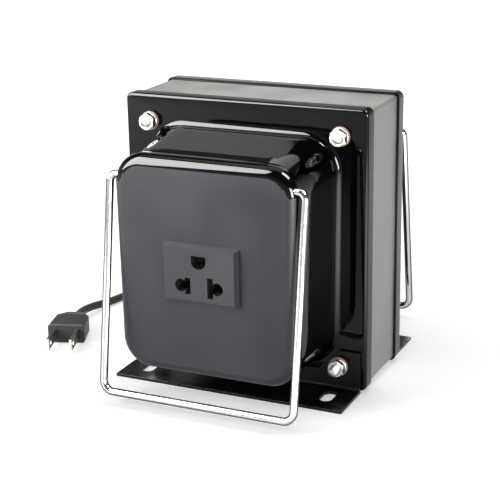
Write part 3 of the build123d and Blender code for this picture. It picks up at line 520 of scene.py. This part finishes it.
def rod(middle, radius, length, along):
    """A closed cylinder along X or Y in millimetres."""
    turn = Matrix.Rotation(math.pi / 2, 3, "X" if along == "Y" else "Y")

    def build(bm):
        bmesh.ops.create_cone(bm, cap_ends=True, segments=CUTTER_SIDES,
                              radius1=radius, radius2=radius, depth=length)
        bmesh.ops.rotate(bm, verts=bm.verts, matrix=turn)
        bmesh.ops.translate(bm, verts=bm.verts, vec=middle)
        bmesh.ops.scale(bm, verts=bm.verts, vec=(MM, MM, MM))
    return mesh_of("cutter", build)


def cut_mesh(mesh, cutters):
    """The mesh with each cutter taken out of it."""
    target = put_in_scene("target", mesh)
    tools = [put_in_scene("tool", cutter) for cutter in cutters]
    for tool in tools:
        modifier = target.modifiers.new("cut", "BOOLEAN")
        modifier.object = tool
        modifier.solver = "EXACT"
    result = plain_mesh(target)
    for obj in tools + [target]:
        bpy.data.objects.remove(obj)
    return reshape(result, lambda bm: bmesh.ops.dissolve_degenerate(bm, dist=SLIVER, edges=bm.edges))


# %% [markdown]
# ## Caps
# A shallow rounded pan closes each bell. Its rolled edge is gloss black and its flat face is
# satin, so the faces that look outwards get the second material. Its rings run from the inner
# face round the rim to the outer one, and its openings are smaller than the fittings' rims.

# %% Caps
PROUD, ROLL, WALL = 0.6, 5.5, 1.5
FRONT = -frame_box("front_panel")[0].y
PAN = dict(half=NECK["half"] + PROUD, low=NECK["low"] - PROUD, high=NECK["high"] + PROUD,
           corner=NECK_CORNER + PROUD, lean=LEAN)
SATIN_FORWARD, SATIN_UPWARD = 0.55, 0.04
WIRE, WIRE_HOLE, PIVOT_BACK = 2.0, 2.3, 4.0
PIVOT_Y, PIVOT_Z = FRONT - PIVOT_BACK, frame_box("front_bail")[1].z - WIRE
CUT_INWARDS, CUT_OUTWARDS = 4.0, 2.0
FUSE_HOLE = 6.6


def cap_rings(side):
    rings = []

    def ring(inset, depth):
        rings.append(ring_points(inset=inset, depth=depth, side=side, **PAN))

    inner = ROLL - WALL
    for rise, back in reversed(quarter(6)):
        ring(WALL + inner * back, FRONT - ROLL + inner * rise)
    ring(WALL, SHOULDER)
    ring(EDGE, SHOULDER)
    ring(0.0, SHOULDER + EDGE)
    for rise, back in quarter(10):
        ring(ROLL * back, FRONT - ROLL + ROLL * rise)
    return rings


def hole_behind(node, inset_x, inset_z, side):
    """A block through the cap, smaller than a fitting's rim by the two insets."""
    low, high = frame_box(node)
    near, far = sorted((side * (FRONT - CUT_INWARDS), side * (FRONT + CUT_OUTWARDS)))
    return block((low.x + inset_x, near, low.z + inset_z), (high.x - inset_x, far, high.z - inset_z))


def add_cap(side, word, openings):
    """A cap with its openings, and one long cylinder that cuts both holes for the bail."""
    mesh = shell("cap", cap_rings(side), loop=False)
    for face in mesh.polygons:
        satin_here = side * face.normal.y > SATIN_FORWARD and face.normal.z < SATIN_UPWARD
        face.material_index = int(satin_here)
    for material in (enamel, satin):
        mesh.materials.append(material)
    wire_holes = rod((0, side * PIVOT_Y, PIVOT_Z), WIRE_HOLE, 120, "X")
    add_piece(f"{word}_cap", cut_mesh(mesh, openings + [wire_holes]), "chassis",
              [enamel, satin], [f"{word}_panel"], sharp=40.0)


add_cap(-1, "front", [hole_behind("outlet_body", 1.6, 1.6, -1)])
fuse_low, fuse_high = frame_box("fuse_holder_body")
fuse_middle = (0, FRONT, (fuse_low.z + fuse_high.z) / 2)
add_cap(1, "rear", [
    hole_behind("rocker_switch_body", 0.8, 0.8, 1), hole_behind("selector_body", 4.3, 1.1, 1),
    rod(fuse_middle, FUSE_HOLE, 2 * CUT_INWARDS, "Y")])

# %% [markdown]
# ## Moulded and bent pieces
# The outlet, the feet, the plug and the small controls have the right shape in the frame, but
# their edges are perfectly sharp. A real edge is a little round and catches light. A copy of
# the solid is welded, its flat areas are merged, and a Bevel modifier rounds its edges. The
# outlet's plate also gets the steep sides of the real moulding, in place of an even bevel.

# %% Bevelled copies
WELD = 0.002 * MM
PLATE_BEVEL, PLATE_SLOPE, PLATE_DEPTH = 2.4, 1.2, 3.2
NEAR = 0.01


def clean_solid(bm):
    bmesh.ops.remove_doubles(bm, verts=bm.verts, dist=WELD)
    bmesh.ops.dissolve_limit(bm, angle_limit=math.radians(1.0), verts=bm.verts, edges=bm.edges)


def steepen_plate(mesh):
    """Move the corners of the plate's face outwards and the foot of its slope back."""
    low, high = frame_box("outlet_body")
    middle, half = (low + high) / 2, (high - low) / 2
    for vert in mesh.vertices:
        x, z = vert.co.x / MM - middle.x, vert.co.z / MM - middle.z
        edge = max(abs(x) - half.x, abs(z) - half.z)
        depth = vert.co.y / MM - low.y
        if depth < NEAR and edge > -PLATE_BEVEL - 0.1:
            vert.co.x += math.copysign(PLATE_BEVEL - PLATE_SLOPE, x) * MM
            vert.co.z += math.copysign(PLATE_BEVEL - PLATE_SLOPE, z) * MM
        elif abs(depth - PLATE_BEVEL) < NEAR and edge > -NEAR:
            vert.co.y += (PLATE_DEPTH - PLATE_BEVEL) * MM


def soften(node, material, width, body="chassis", segments=2):
    """A copy of a node's solid with its edges rounded; width is in millimetres."""
    mesh = reshape(nodes[node].data.copy(), clean_solid)
    if node == "outlet_body":
        steepen_plate(mesh)
    obj = add_piece(f"{node}_finished", mesh, body, [material], [node])
    bevel = obj.modifiers.new("rounded_edges", "BEVEL")
    bevel.width = width * MM
    bevel.segments = segments
    bevel.limit_method = "ANGLE"
    bevel.angle_limit = math.radians(30.0)
    bevel.harden_normals = True


soften("outlet_body", outlet_grey, 0.2)
soften("front_foot", foot_enamel, 0.3)
soften("rear_foot", foot_enamel, 0.3)
soften("rocker_switch_body", moulded, 0.2)
soften("rocker_key", moulded, 0.15, body="rocker")
soften("selector_body", moulded, 0.2)
soften("selector_knob", moulded, 0.1, body="selector")
soften("fuse_holder_body", moulded, 0.15)
soften("fuse_cap", moulded, 0.15, body="fuse_carrier")
soften("lead_tie", moulded, 0.15)
soften("plug_body", rubber, 0.6, segments=3)
soften("plug_blades", zinc, 0.2)

# %% [markdown]
# ## Marks on the rocker
# The rocker has a bar on its upper half and a ring on its lower half. Each half is a flat slope,
# so a ray along -Y finds the place and the tilt of the slope, and the mark is laid there as a
# thin raised solid that tips with the key.

# %% Marks
MARK_PROUD, MARK_DEEP, MARK_LIFT = 0.05, 0.10, 4.6
BAR_WIDE, BAR_TALL = 0.8, 3.4
RING_OUTER, RING_INNER, RING_STEPS = 1.9, 1.25, 48
FAR_BEHIND = 300


def slope_at(node, x, z):
    """A frame of reference on a node's rear face: X across, Z out of the face."""
    mesh = nodes[node].data
    faces = [tuple(face.vertices) for face in mesh.polygons]
    surface = BVHTree.FromPolygons([vert.co for vert in mesh.vertices], faces)
    place, normal, _, _ = surface.ray_cast(Vector((x, FAR_BEHIND, z)) * MM, Vector((0, -1, 0)))
    across = Vector((1, 0, 0))
    turn = Matrix((across, normal.cross(across), normal)).transposed()
    return Matrix.Translation(place) @ turn.to_4x4()


def build_marks(bm):
    low, high = frame_box("rocker_key")
    middle = (low + high) / 2
    upper = slope_at("rocker_key", middle.x, middle.z + MARK_LIFT)
    lower = slope_at("rocker_key", middle.x, middle.z - MARK_LIFT)
    size = Matrix.Diagonal((BAR_WIDE * MM, BAR_TALL * MM, (MARK_PROUD + MARK_DEEP) * MM, 1))
    bmesh.ops.create_cube(bm, size=1.0, matrix=upper @ size)
    turns = [2 * math.pi * i / RING_STEPS for i in range(RING_STEPS)]
    section = ((RING_OUTER, -MARK_DEEP), (RING_OUTER, MARK_PROUD),
               (RING_INNER, MARK_PROUD), (RING_INNER, -MARK_DEEP))
    skin(bm, [[lower @ (Vector((radius * math.cos(a), radius * math.sin(a), height)) * MM)
               for a in turns] for radius, height in section])


add_piece("rocker_marks", mesh_of("rocker_marks", build_marks), "rocker", [ink])

# %% [markdown]
# ## Turned shapes
# Washers, nuts, bolts and the lead's relief all turn about one axis. A washer is the same all
# the way round. A nut's radius and level depend on the direction, which gives its six flats and
# the shallow cone on its faces.

# %% Turned shapes
TURN_STEPS, NUT_STEPS = 48, 72
NUT_FACE, NUT_CONE = 0.98, 0.45
BOLT, FLATS, NUT = 2.5, 8.0, 3.2
BORE = BOLT + 0.05
FIBRE, FIBRE_RADIUS = 1.2, 4.9
PLAIN, PLAIN_RADIUS = 0.8, 4.5


def ring_about_y(steps, place, x=0.0, z=0.0):
    """Points round an axis along Y; place(angle) gives each one's radius and level."""
    ring = []
    for i in range(steps):
        angle = 2 * math.pi * i / steps
        radius, level = place(angle)
        ring.append(Vector((x + radius * math.cos(angle), level, z + radius * math.sin(angle))) * MM)
    return ring


def lathe(profile, loop=True):
    """A ring or solid turned about Y; the profile is (radius, level) pairs in millimetres."""
    rings = [ring_about_y(TURN_STEPS, lambda angle: point) for point in profile]
    return shell("turned", rings, loop)


def hexagon(angle, flats):
    """How far a hexagon's outline is from its middle in one direction."""
    return flats / 2 / math.cos((angle + math.pi / 6) % (math.pi / 3) - math.pi / 6)


def hex_nut(flats, height, bore, round_off):
    """A hexagonal nut with its corners turned off in a shallow cone on both faces."""
    def outline(angle, level, inwards):
        reach = hexagon(angle, flats)
        return reach, level + inwards * NUT_CONE * (reach - flats / 2)

    face = flats / 2 * NUT_FACE
    places = (lambda angle: (bore, 0.0), lambda angle: (face, 0.0),
              lambda angle: outline(angle, round_off, 1),
              lambda angle: outline(angle, height - round_off, -1),
              lambda angle: (face, height), lambda angle: (bore, height))
    return shell("nut", [ring_about_y(NUT_STEPS, place) for place in places])


def washer(radius, thick, edge):
    """A flat ring with its two outer edges broken."""
    return lathe([(BORE, 0.0), (radius - edge, 0.0), (radius, edge), (radius, thick - edge),
                  (radius - edge, thick), (BORE, thick)])


fibre_unit = washer(FIBRE_RADIUS, FIBRE, 0.2)
plain_unit = washer(PLAIN_RADIUS, PLAIN, 0.15)
nut_unit = hex_nut(FLATS, NUT, BOLT + 0.02, 0.2)
print("faces in a nut", len(nut_unit.polygons))

# %% [markdown]
# ## Nuts, washers and fibre rings
# The same small stack sits under each of the four bolts, a little further out where it clamps
# a foot. That is a repeat, so Geometry Nodes place it: a few points carry the places, one mesh
# is instanced on them, and the tree ends by realizing the copies and setting the material.

# %% Instancing tree
repeat_tree, start, end = make_tree(
    "repeat_at_seats",
    [("Geometry", GEOMETRY, None), ("Unit", "NodeSocketObject", None), ("Unit Size", NUMBER, 1.0),
     ("Material", "NodeSocketMaterial", None)],
    ("Geometry", GEOMETRY), "GeometryNodeTree")
info = add_node(repeat_tree, "GeometryNodeObjectInfo")
copies = add_node(repeat_tree, "GeometryNodeInstanceOnPoints")
solid = add_node(repeat_tree, "GeometryNodeRealizeInstances")
paint = add_node(repeat_tree, "GeometryNodeSetMaterial")
wire(repeat_tree,
     (start, "Unit", info, "Object"), (start, "Geometry", copies, "Points"),
     (info, "Geometry", copies, "Instance"), (start, "Unit Size", copies, "Scale"),
     (copies, "Instances", solid, "Geometry"), (solid, "Geometry", paint, "Geometry"),
     (start, "Material", paint, "Material"), (paint, "Geometry", end, "Geometry"))


def run_tree(tree, base, inputs=None):
    """The plain mesh that a Geometry Nodes tree makes of a base mesh."""
    carrier = put_in_scene("carrier", base)
    modifier = carrier.modifiers.new("tree", "NODES")
    modifier.node_group = tree
    for item in tree.interface.items_tree:
        if item.name in (inputs or {}):
            modifier[item.identifier] = inputs[item.name]
    result = plain_mesh(carrier)
    bpy.data.objects.remove(carrier)
    return result


def repeat_at(seats, unit, material):
    """The unit mesh copied to each seat, in millimetres."""
    points = bpy.data.meshes.new("seats")
    points.from_pydata([Vector(seat) * MM for seat in seats], [], [])
    unit_object = put_in_scene("unit", unit)
    result = run_tree(repeat_tree, points, {"Unit": unit_object, "Material": material})
    bpy.data.objects.remove(unit_object)
    return result


# %% [markdown]
# ## The four stacks
# The bolts' places come from the frame's fibre washers. The lower bolts also go through the
# feet, so their stacks start that much further out, and each ring stands past the ones under it.

# %% Rings and nuts
FOOT_SHEET = 1.6
ring_low, ring_high = frame_box("front_fibre_washers")
levels = ((ring_low.z + FIBRE_RADIUS, FACE + FOOT_SHEET), (ring_high.z - FIBRE_RADIUS, FACE))
BOLTS = [(side * (ring_high.x - FIBRE_RADIUS), z, seat) for z, seat in levels for side in (-1, 1)]
print("bolts", [tuple(round(v, 2) for v in place) for place in BOLTS])
for name, unit, material, slot, side, stack, node in (
    ("front_fibre_rings", fibre_unit, fibre, "washer_fibre", -1, FIBRE, "front_fibre_washers"),
    ("rear_fibre_rings", fibre_unit, fibre, "washer_fibre", 1, 0.0, "rear_fibre_washers"),
    ("plain_washers", plain_unit, zinc, "bolt_zinc", -1, FIBRE + PLAIN, "steel_washers"),
    ("nuts", nut_unit, zinc, "bolt_zinc", -1, FIBRE + PLAIN + NUT, "bolt_nuts"),
):
    seats = [(x, side * (seat + stack), z) for x, z, seat in BOLTS]
    mesh = repeat_at(seats, unit, material)
    add_piece(name, mesh, "chassis", [material], [node], sharp=25.0)

# %% [markdown]
# ## Bolts
# Each bolt shows a few threads past its nut. A thread is a groove that climbs one pitch each
# turn. The rod is a grid of rings, and each point moves in or out by how far it is along the
# groove, which costs less than sweeping a profile along a helix.

# %% Threaded bolts
PITCH, THREAD_DEEP, THREADED = 0.8, 0.35, 12.0
ROWS_IN_PITCH, BOLT_STEPS, HEAD_STEPS = 5, 20, 36
TIP_NARROW, TIP_SLOPE = 0.6, 1.2
HEAD, HEAD_EDGE, HEAD_TOP = 2.8, 0.5, 0.86
PAST_FOOT_NUT, PAST_NUT = 4.6, 1.4


def add_bolt(bm, x, z, tip, head):
    """One bolt along Y, from its threaded tip to the seat of its head."""
    def rod_ring(radius_at, level):
        return ring_about_y(BOLT_STEPS, lambda angle: (radius_at(angle, level), level), x, z)

    def thread(angle, level):
        turns = (level - tip) / PITCH
        wave = abs((turns - angle / (2 * math.pi)) % 1.0 * 2 - 1)
        return min(BOLT - THREAD_DEEP * wave, BOLT - TIP_NARROW + (level - tip) * TIP_SLOPE)

    rows = int(THREADED / PITCH * ROWS_IN_PITCH) + 1
    levels = [tip + PITCH * i / ROWS_IN_PITCH for i in range(rows)]
    rings = [rod_ring(thread, level) for level in levels]
    rings += [rod_ring(lambda angle, level: BOLT, level) for level in (levels[-1] + EDGE, head)]
    skin(bm, rings, loop=False)
    head_places = (lambda angle: (FLATS / 4, head), lambda angle: (hexagon(angle, FLATS), head),
                   lambda angle: (hexagon(angle, FLATS), head + HEAD - HEAD_EDGE),
                   lambda angle: (FLATS / 2 * HEAD_TOP, head + HEAD))
    skin(bm, [ring_about_y(HEAD_STEPS, place, x, z) for place in head_places], loop=False)


def build_bolts(bm):
    for x, z, seat in BOLTS:
        past = PAST_FOOT_NUT if seat > FACE else PAST_NUT
        add_bolt(bm, x, z, -seat - FIBRE - PLAIN - NUT - past, seat + FIBRE)


add_piece("bolts", mesh_of("bolts", build_bolts), "chassis", [zinc], ["through_bolts"],
          sharp=50.0)

# %% [markdown]
# ## Wire bails
# A bail is one length of chromed wire with four bends, and its two ends spring into holes in
# the cap. The wire follows a path, so Geometry Nodes fillet a six-point line and sweep a circle
# along it. The low bends, at points 2 and 3, are less than 1 from 2.5, which is how the tree
# makes them wider. Chrome shows every facet, so the circle has many points.

# %% Bail tree
TOP_BEND, LOW_BEND = 3.8, 5.5
bail_tree, start, end = make_tree(
    "wire_bail",
    [("Geometry", GEOMETRY, None), ("Wire Radius", NUMBER, WIRE * MM),
     ("Top Bend", NUMBER, TOP_BEND * MM), ("Low Bend", NUMBER, LOW_BEND * MM)],
    ("Geometry", GEOMETRY), "GeometryNodeTree")
line = add_node(bail_tree, "GeometryNodeMeshToCurve")
index = add_node(bail_tree, "GeometryNodeInputIndex")
offset = add_node(bail_tree, "ShaderNodeMath", {1: 2.5}, operation="SUBTRACT")
away = add_node(bail_tree, "ShaderNodeMath", operation="ABSOLUTE")
low_ones = add_node(bail_tree, "ShaderNodeMath", {1: 1.0}, operation="LESS_THAN")
bend = add_node(bail_tree, "ShaderNodeMix")
fillet = add_node(bail_tree, "GeometryNodeFilletCurve", {"Count": 12, "Limit Radius": True}, mode="POLY")
circle = add_node(bail_tree, "GeometryNodeCurvePrimitiveCircle", {"Resolution": 32})
tube = add_node(bail_tree, "GeometryNodeCurveToMesh", {"Fill Caps": True})
solid = add_node(bail_tree, "GeometryNodeRealizeInstances")
paint = add_node(bail_tree, "GeometryNodeSetMaterial", {"Material": chrome})
wire(bail_tree,
     (start, "Geometry", line, "Mesh"), (line, "Curve", fillet, "Curve"),
     (index, "Index", offset, 0), (offset, 0, away, 0), (away, 0, low_ones, 0),
     (low_ones, 0, bend, "Factor"), (start, "Top Bend", bend, "A"), (start, "Low Bend", bend, "B"),
     (bend, "Result", fillet, "Radius"), (start, "Wire Radius", circle, "Radius"),
     (fillet, "Curve", tube, "Curve"), (circle, "Curve", tube, "Profile Curve"),
     (tube, "Mesh", solid, "Geometry"), (solid, "Geometry", paint, "Geometry"),
     (paint, "Geometry", end, "Geometry"))
print("nodes in the bail tree", len(bail_tree.nodes))

# %% [markdown]
# ## Hanging the bails
# At rest each bail leans out from its cap, with its bar near the table. The line's points are
# placed by how far down the leg they are, so one angle sets the whole bail.

# %% Bails
STUB, BAR_HEIGHT, BAIL_HALF = 8.0, 7.0, frame_box("front_bail")[1].x - WIRE
LEAN_OUT = math.radians(8.8)
BAIL_LENGTH = (PIVOT_Z - BAR_HEIGHT) / math.cos(LEAN_OUT)
print("bail pivot", round(PIVOT_Y, 2), round(PIVOT_Z, 2), "leg", round(BAIL_LENGTH, 2))


def bail_mesh(side):
    def place(x, down):
        y, z = PIVOT_Y + down * math.sin(LEAN_OUT), PIVOT_Z - down * math.cos(LEAN_OUT)
        return Vector((x, side * y, z)) * MM

    end = BAIL_HALF - STUB
    corners = [place(-end, 0), place(-BAIL_HALF, 0), place(-BAIL_HALF, BAIL_LENGTH),
               place(BAIL_HALF, BAIL_LENGTH), place(BAIL_HALF, 0), place(end, 0)]
    path = bpy.data.meshes.new("bail_path")
    path.from_pydata(corners, [(i, i + 1) for i in range(5)], [])
    return run_tree(bail_tree, path)


for side, word in SIDES:
    bail = f"{word}_bail"
    add_piece(f"{bail}_wire", bail_mesh(side), bail, [chrome], [bail], sharp=60.0)

# %% [markdown]
# ## Strain relief
# The lead leaves the bell through a moulded relief that tapers and has ribs, so that the lead
# can't bend sharply at the wall. It is turned from a profile and then laid on the wall's own
# direction, which isn't quite level because the bell is drafted.

# %% Gland
GLAND_SEAT = Vector((-47.82, 54.65, 38.56))
GLAND_OUT = Vector((-1, 0.0582, -0.010)).normalized()
COLLAR, RIBBED = 2.4, 24.0
RELIEF_END = COLLAR + RIBBED
RIBS, RIB_STEPS, RIB_DEEP = 6, 12, 0.45
RELIEF_WIDE, RELIEF_NARROW = 4.8, 3.1
LEAD_HOLE, HOLE_FLOOR = 2.35, 20.0


def relief_profile():
    """The plug in the wall, the collar, the ribs on their taper and the hole for the lead."""
    profile = [(3.2, -5.2), (5.1, -5.2), (5.1, 0.0), (6.1, 0.0), (6.4, 0.3), (6.4, 1.6), (6.0, 2.2),
               (5.2, COLLAR)]
    steps = RIBS * RIB_STEPS
    for share in (i / steps for i in range(steps + 1)):
        radius = RELIEF_WIDE + (RELIEF_NARROW - RELIEF_WIDE) * share
        groove = RIB_DEEP * (0.5 - 0.5 * math.cos(2 * math.pi * RIBS * share))
        profile.append((radius - groove, COLLAR + RIBBED * share))
    return profile + [(LEAD_HOLE, RELIEF_END), (LEAD_HOLE, HOLE_FLOOR)]


gland_mesh = lathe(relief_profile(), loop=False)
turn = Vector((0, 1, 0)).rotation_difference(GLAND_OUT).to_matrix().to_4x4()
gland_mesh.transform(Matrix.Translation(GLAND_SEAT * MM) @ turn)
gland = add_piece("strain_relief", gland_mesh, "chassis", [rubber], ["cord_gland"],
                  sharp=50.0)

# %% [markdown]
# ## The lead's coil
# The lead is about 1.27 m of round two-core flex, most of it wound into a neat coil behind the
# converter. A formula gives the coil's points: it winds in on the upper layer, drops to the
# table in half a turn and winds out on the lower one. The spline passes a little inside its
# points, so SWELL moves them out by as much.

# %% Coil
COIL_X, COIL_Y, COIL_PITCH, COIL_RISE = -99.6, 118.8, 5.1, 5.1
COIL_INNER, COIL_START, COIL_LOW = 18.1, 222.0, 3.4
COIL_TURNS = 2267.0 / 720.0
COIL_OUTER = COIL_INNER + COIL_PITCH * COIL_TURNS
COIL_STEPS, DROP_STEPS, DROP_INWARDS = 50, 8, 1.27
SWELL = 1 / (0.75 + 0.25 * math.cos(2 * math.pi * COIL_TURNS / COIL_STEPS))


def on_coil(angle, radius, z):
    a = math.radians(angle)
    return Vector((COIL_X + radius * SWELL * math.cos(a), COIL_Y + radius * SWELL * math.sin(a), z))


def layer(start_angle, from_radius, to_radius, z):
    """One layer of the coil, turning clockwise from one radius to the other."""
    points = []
    for share in (i / COIL_STEPS for i in range(COIL_STEPS + 1)):
        radius = from_radius + (to_radius - from_radius) * share
        points.append(on_coil(start_angle - 360 * COIL_TURNS * share, radius, z))
    return points


def drop(start_angle):
    """The half turn from the upper layer to the lower one, falling as a smooth S."""
    points = []
    for share in (i / DROP_STEPS for i in range(1, DROP_STEPS)):
        fall = 2 * share ** 2 if share < 0.5 else 1 - 2 * (1 - share) ** 2
        radius = COIL_INNER - DROP_INWARDS * math.sin(math.pi * share)
        points.append(on_coil(start_angle - 180 * share, radius, COIL_LOW + COIL_RISE * (1 - fall)))
    return points


turn_angle = COIL_START - 360 * COIL_TURNS
coil = (layer(COIL_START, COIL_OUTER, COIL_INNER, COIL_LOW + COIL_RISE) + drop(turn_angle)
        + layer(turn_angle - 180, COIL_INNER, COIL_OUTER, COIL_LOW))
print("points in the coil", len(coil), "outer radius", round(COIL_OUTER, 2))

# %% [markdown]
# ## The mains lead
# The rest of the route is listed: from the relief down into the coil, and from the coil past the
# converter's left side to a small two-blade plug. The whole lead is one NURBS spline with a round bevel,
# so it stays smooth from end to end.

# %% Lead
LEAD_RADIUS = 2.3
tip = GLAND_SEAT + GLAND_OUT * RELIEF_END
inlet = [tip, tip + GLAND_OUT * 11.7, Vector((-96.4, 60.5, 32.7)), Vector((-104.1, 64.7, 24.5)),
         Vector((-108.1, 72.2, 14.0)), Vector((-113.0, 82.5, 8.5))]
outlet_run = [Vector(place) for place in (
    (-96.6, 82.5, 3.4), (-106.5, 76.5, 2.6), (-113.0, 68.0, 2.4), (-117.2, 56.7, 2.32),
    (-119.4, 48.9, 2.32), (-121.5, 37.1, 2.8), (-124.5, 25.0, 4.0), (-124.6, 10.5, 5.5),
    (-121.0, 0.0, 5.5))]
route = inlet + coil + outlet_run
curve = bpy.data.curves.new("mains_lead", "CURVE")
curve.dimensions = "3D"
curve.bevel_depth = LEAD_RADIUS * MM
curve.bevel_resolution = 6
curve.use_fill_caps = True
curve.materials.append(rubber)
spline = curve.splines.new("NURBS")
spline.points.add(len(route) - 1)
for point, place in zip(spline.points, route):
    point.co = (*(place * MM), 1.0)
spline.order_u = 3
spline.use_endpoint_u = True
spline.resolution_u = 6
lead = put_in_scene("mains_lead", curve)
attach(lead, "chassis")
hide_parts("lead_from_gland", "lead_coil", "lead_to_plug")
print("points on the lead", len(route))

# %% [markdown]
# ## The floor
# The converter stands on a white sweep, a pale diffuse floor that keeps its shadow. For camera,
# mirror and glass rays a little emission lifts it to white, so the lamps needn't. The lift is
# weaker in front, where the black lips mirror the floor. A patch at the right glows far more,
# like a reflector, and draws the long streak on the bell.

# %% Floor
FLOOR_HALF = 6.0
FLOOR_COLOUR = (0.80, 0.80, 0.80, 1)
DIM_CENTRE, DIM_FROM, DIM_TO = (-0.15, -0.55, 0.0), 0.30, 1.00
DIM_LIFT, FULL_LIFT = 0.30, 0.80
PATCH_CENTRE, PATCH_EDGE, PATCH_CORE, PATCH_LIFT = (0.30, -0.23, 0.0), 0.30, 0.08, 9.0


def larger(tree, first, output, second, other):
    """The larger of two values, which says whether a ray is of either kind."""
    node = add_node(tree, "ShaderNodeMath", operation="MAXIMUM")
    wire(tree, (first, output, node, 0), (second, other, node, 1))
    return node


def by_distance(tree, centre, limits):
    """A value that changes smoothly with the distance from a point on the floor."""
    place = add_node(tree, "ShaderNodeTexCoord")
    reach = add_node(tree, "ShaderNodeVectorMath", operation="DISTANCE", inputs={1: centre})
    ranged = add_node(tree, "ShaderNodeMapRange", limits, interpolation_type="SMOOTHSTEP")
    wire(tree, (place, "Object", reach, 0), (reach, "Value", ranged, "Value"))
    return ranged


floor_mesh = mesh_of(
    "floor", lambda bm: bmesh.ops.create_grid(bm, x_segments=1, y_segments=1, size=FLOOR_HALF))
floor = put_in_scene("floor", floor_mesh)
sweep = bpy.data.materials.new("white_sweep")
sweep.use_nodes = True
tree = sweep.node_tree
matte = tree.nodes[SHADER]
matte.inputs["Base Color"].default_value = FLOOR_COLOUR
matte.inputs["Roughness"].default_value = 0.7
matte.inputs["Specular IOR Level"].default_value = 0.2
matte.inputs["Emission Color"].default_value = (1, 1, 1, 1)
rays = add_node(tree, "ShaderNodeLightPath")
seen = larger(tree, rays, "Is Camera Ray", rays, "Is Glossy Ray")
seen = larger(tree, seen, "Value", rays, "Is Transmission Ray")
whiter = by_distance(tree, DIM_CENTRE, {"From Min": DIM_FROM, "From Max": DIM_TO,
                                        "To Min": DIM_LIFT, "To Max": FULL_LIFT})
brighter = by_distance(tree, PATCH_CENTRE, {"From Min": PATCH_EDGE, "From Max": PATCH_CORE,
                                            "To Max": PATCH_LIFT})
both = add_node(tree, "ShaderNodeMath", operation="ADD")
lift = add_node(tree, "ShaderNodeMath", operation="MULTIPLY")
wire(tree,
     (whiter, "Result", both, 0), (brighter, "Result", both, 1),
     (seen, "Value", lift, 0), (both, "Value", lift, 1),
     (lift, "Value", matte, "Emission Strength"))
floor.data.materials.append(sweep)
print("nodes in the floor's material", len(tree.nodes))

# %% [markdown]
# ## The white room
# The camera sees a pure white background. The same white all round would turn gloss black
# milky, so other rays see a room that darkens towards its ceiling and is less bright for matt
# surfaces than for mirrors.

# %% World
AMBIENT = 0.7
CEILING_FROM, CEILING_TO, CEILING_DARK = 0.05, 0.40, 0.12

world = bpy.data.worlds.new("studio")
world.use_nodes = True
bpy.context.scene.world = world
tree = world.node_tree
sky = tree.nodes["Background"]
sky.inputs["Color"].default_value = (1, 1, 1, 1)
rays = add_node(tree, "ShaderNodeLightPath")
where = add_node(tree, "ShaderNodeTexCoord")
split = add_node(tree, "ShaderNodeSeparateXYZ")
ceiling = add_node(tree, "ShaderNodeMapRange", {"From Min": CEILING_FROM, "From Max": CEILING_TO,
                                                "To Min": 1.0, "To Max": CEILING_DARK})
ambient = add_node(tree, "ShaderNodeMath", {1: AMBIENT}, operation="MULTIPLY")
mirror_rays = larger(tree, rays, "Is Glossy Ray", rays, "Is Transmission Ray")
mirrored = add_node(tree, "ShaderNodeMix")
choose = add_node(tree, "ShaderNodeMix", {"B": 1.0})
wire(tree,
     (where, "Generated", split, "Vector"), (split, "Z", ceiling, "Value"),
     (ceiling, "Result", ambient, 0), (mirror_rays, "Value", mirrored, "Factor"),
     (ambient, "Value", mirrored, "A"), (ceiling, "Result", mirrored, "B"),
     (rays, "Is Camera Ray", choose, "Factor"), (mirrored, "Result", choose, "A"),
     (choose, "Result", sky, "Strength"))
print("nodes in the world", len(tree.nodes))

# %% [markdown]
# ## Lamps
# Three large soft lamps light the object at a plain level. Three more only draw highlights on
# the gloss black, and no matt surface gets brighter by them. Each lamp is turned to look at a
# point above the origin.

# %% Lamps
def soft_lamp(name, place, aim_height, size, watts, highlights_only=False):
    """A rectangular area lamp that looks at a height above the origin."""
    data = bpy.data.lights.new(name, "AREA")
    data.shape = "RECTANGLE"
    data.size, data.size_y = size
    data.energy = watts
    lamp = put_in_scene(name, data)
    lamp.location = place
    look = Vector((0, 0, aim_height)) - Vector(place)
    lamp.rotation_euler = look.to_track_quat("-Z", "Y").to_euler()
    lamp.visible_diffuse = not highlights_only


soft_lamp("overhead", (-0.1, 0.2, 1.5), 0.1, (1.3, 1.0), 9.0)
soft_lamp("front_left", (-0.80, -0.90, 0.80), 0.07, (0.8, 0.8), 12.0)
soft_lamp("rear", (-0.2, 1.4, 1.25), 0.07, (1.0, 0.6), 3.5)
soft_lamp("front_box", (-0.78, -0.78, 0.78), 0.07, (0.9, 1.4), 160.0, highlights_only=True)
soft_lamp("right_low", (0.95, -0.80, 0.22), 0.07, (0.4, 0.5), 45.0, highlights_only=True)
soft_lamp("glint", (0.62, 0.05, 1.15), 0.1, (0.5, 0.5), 44.0, highlights_only=True)
print("lamps", len(bpy.data.lights))

# %% [markdown]
# ## The view transform
# The Standard view transform shows each colour about as it is written.

# %% Finish
bpy.context.scene.view_settings.view_transform = "Standard"
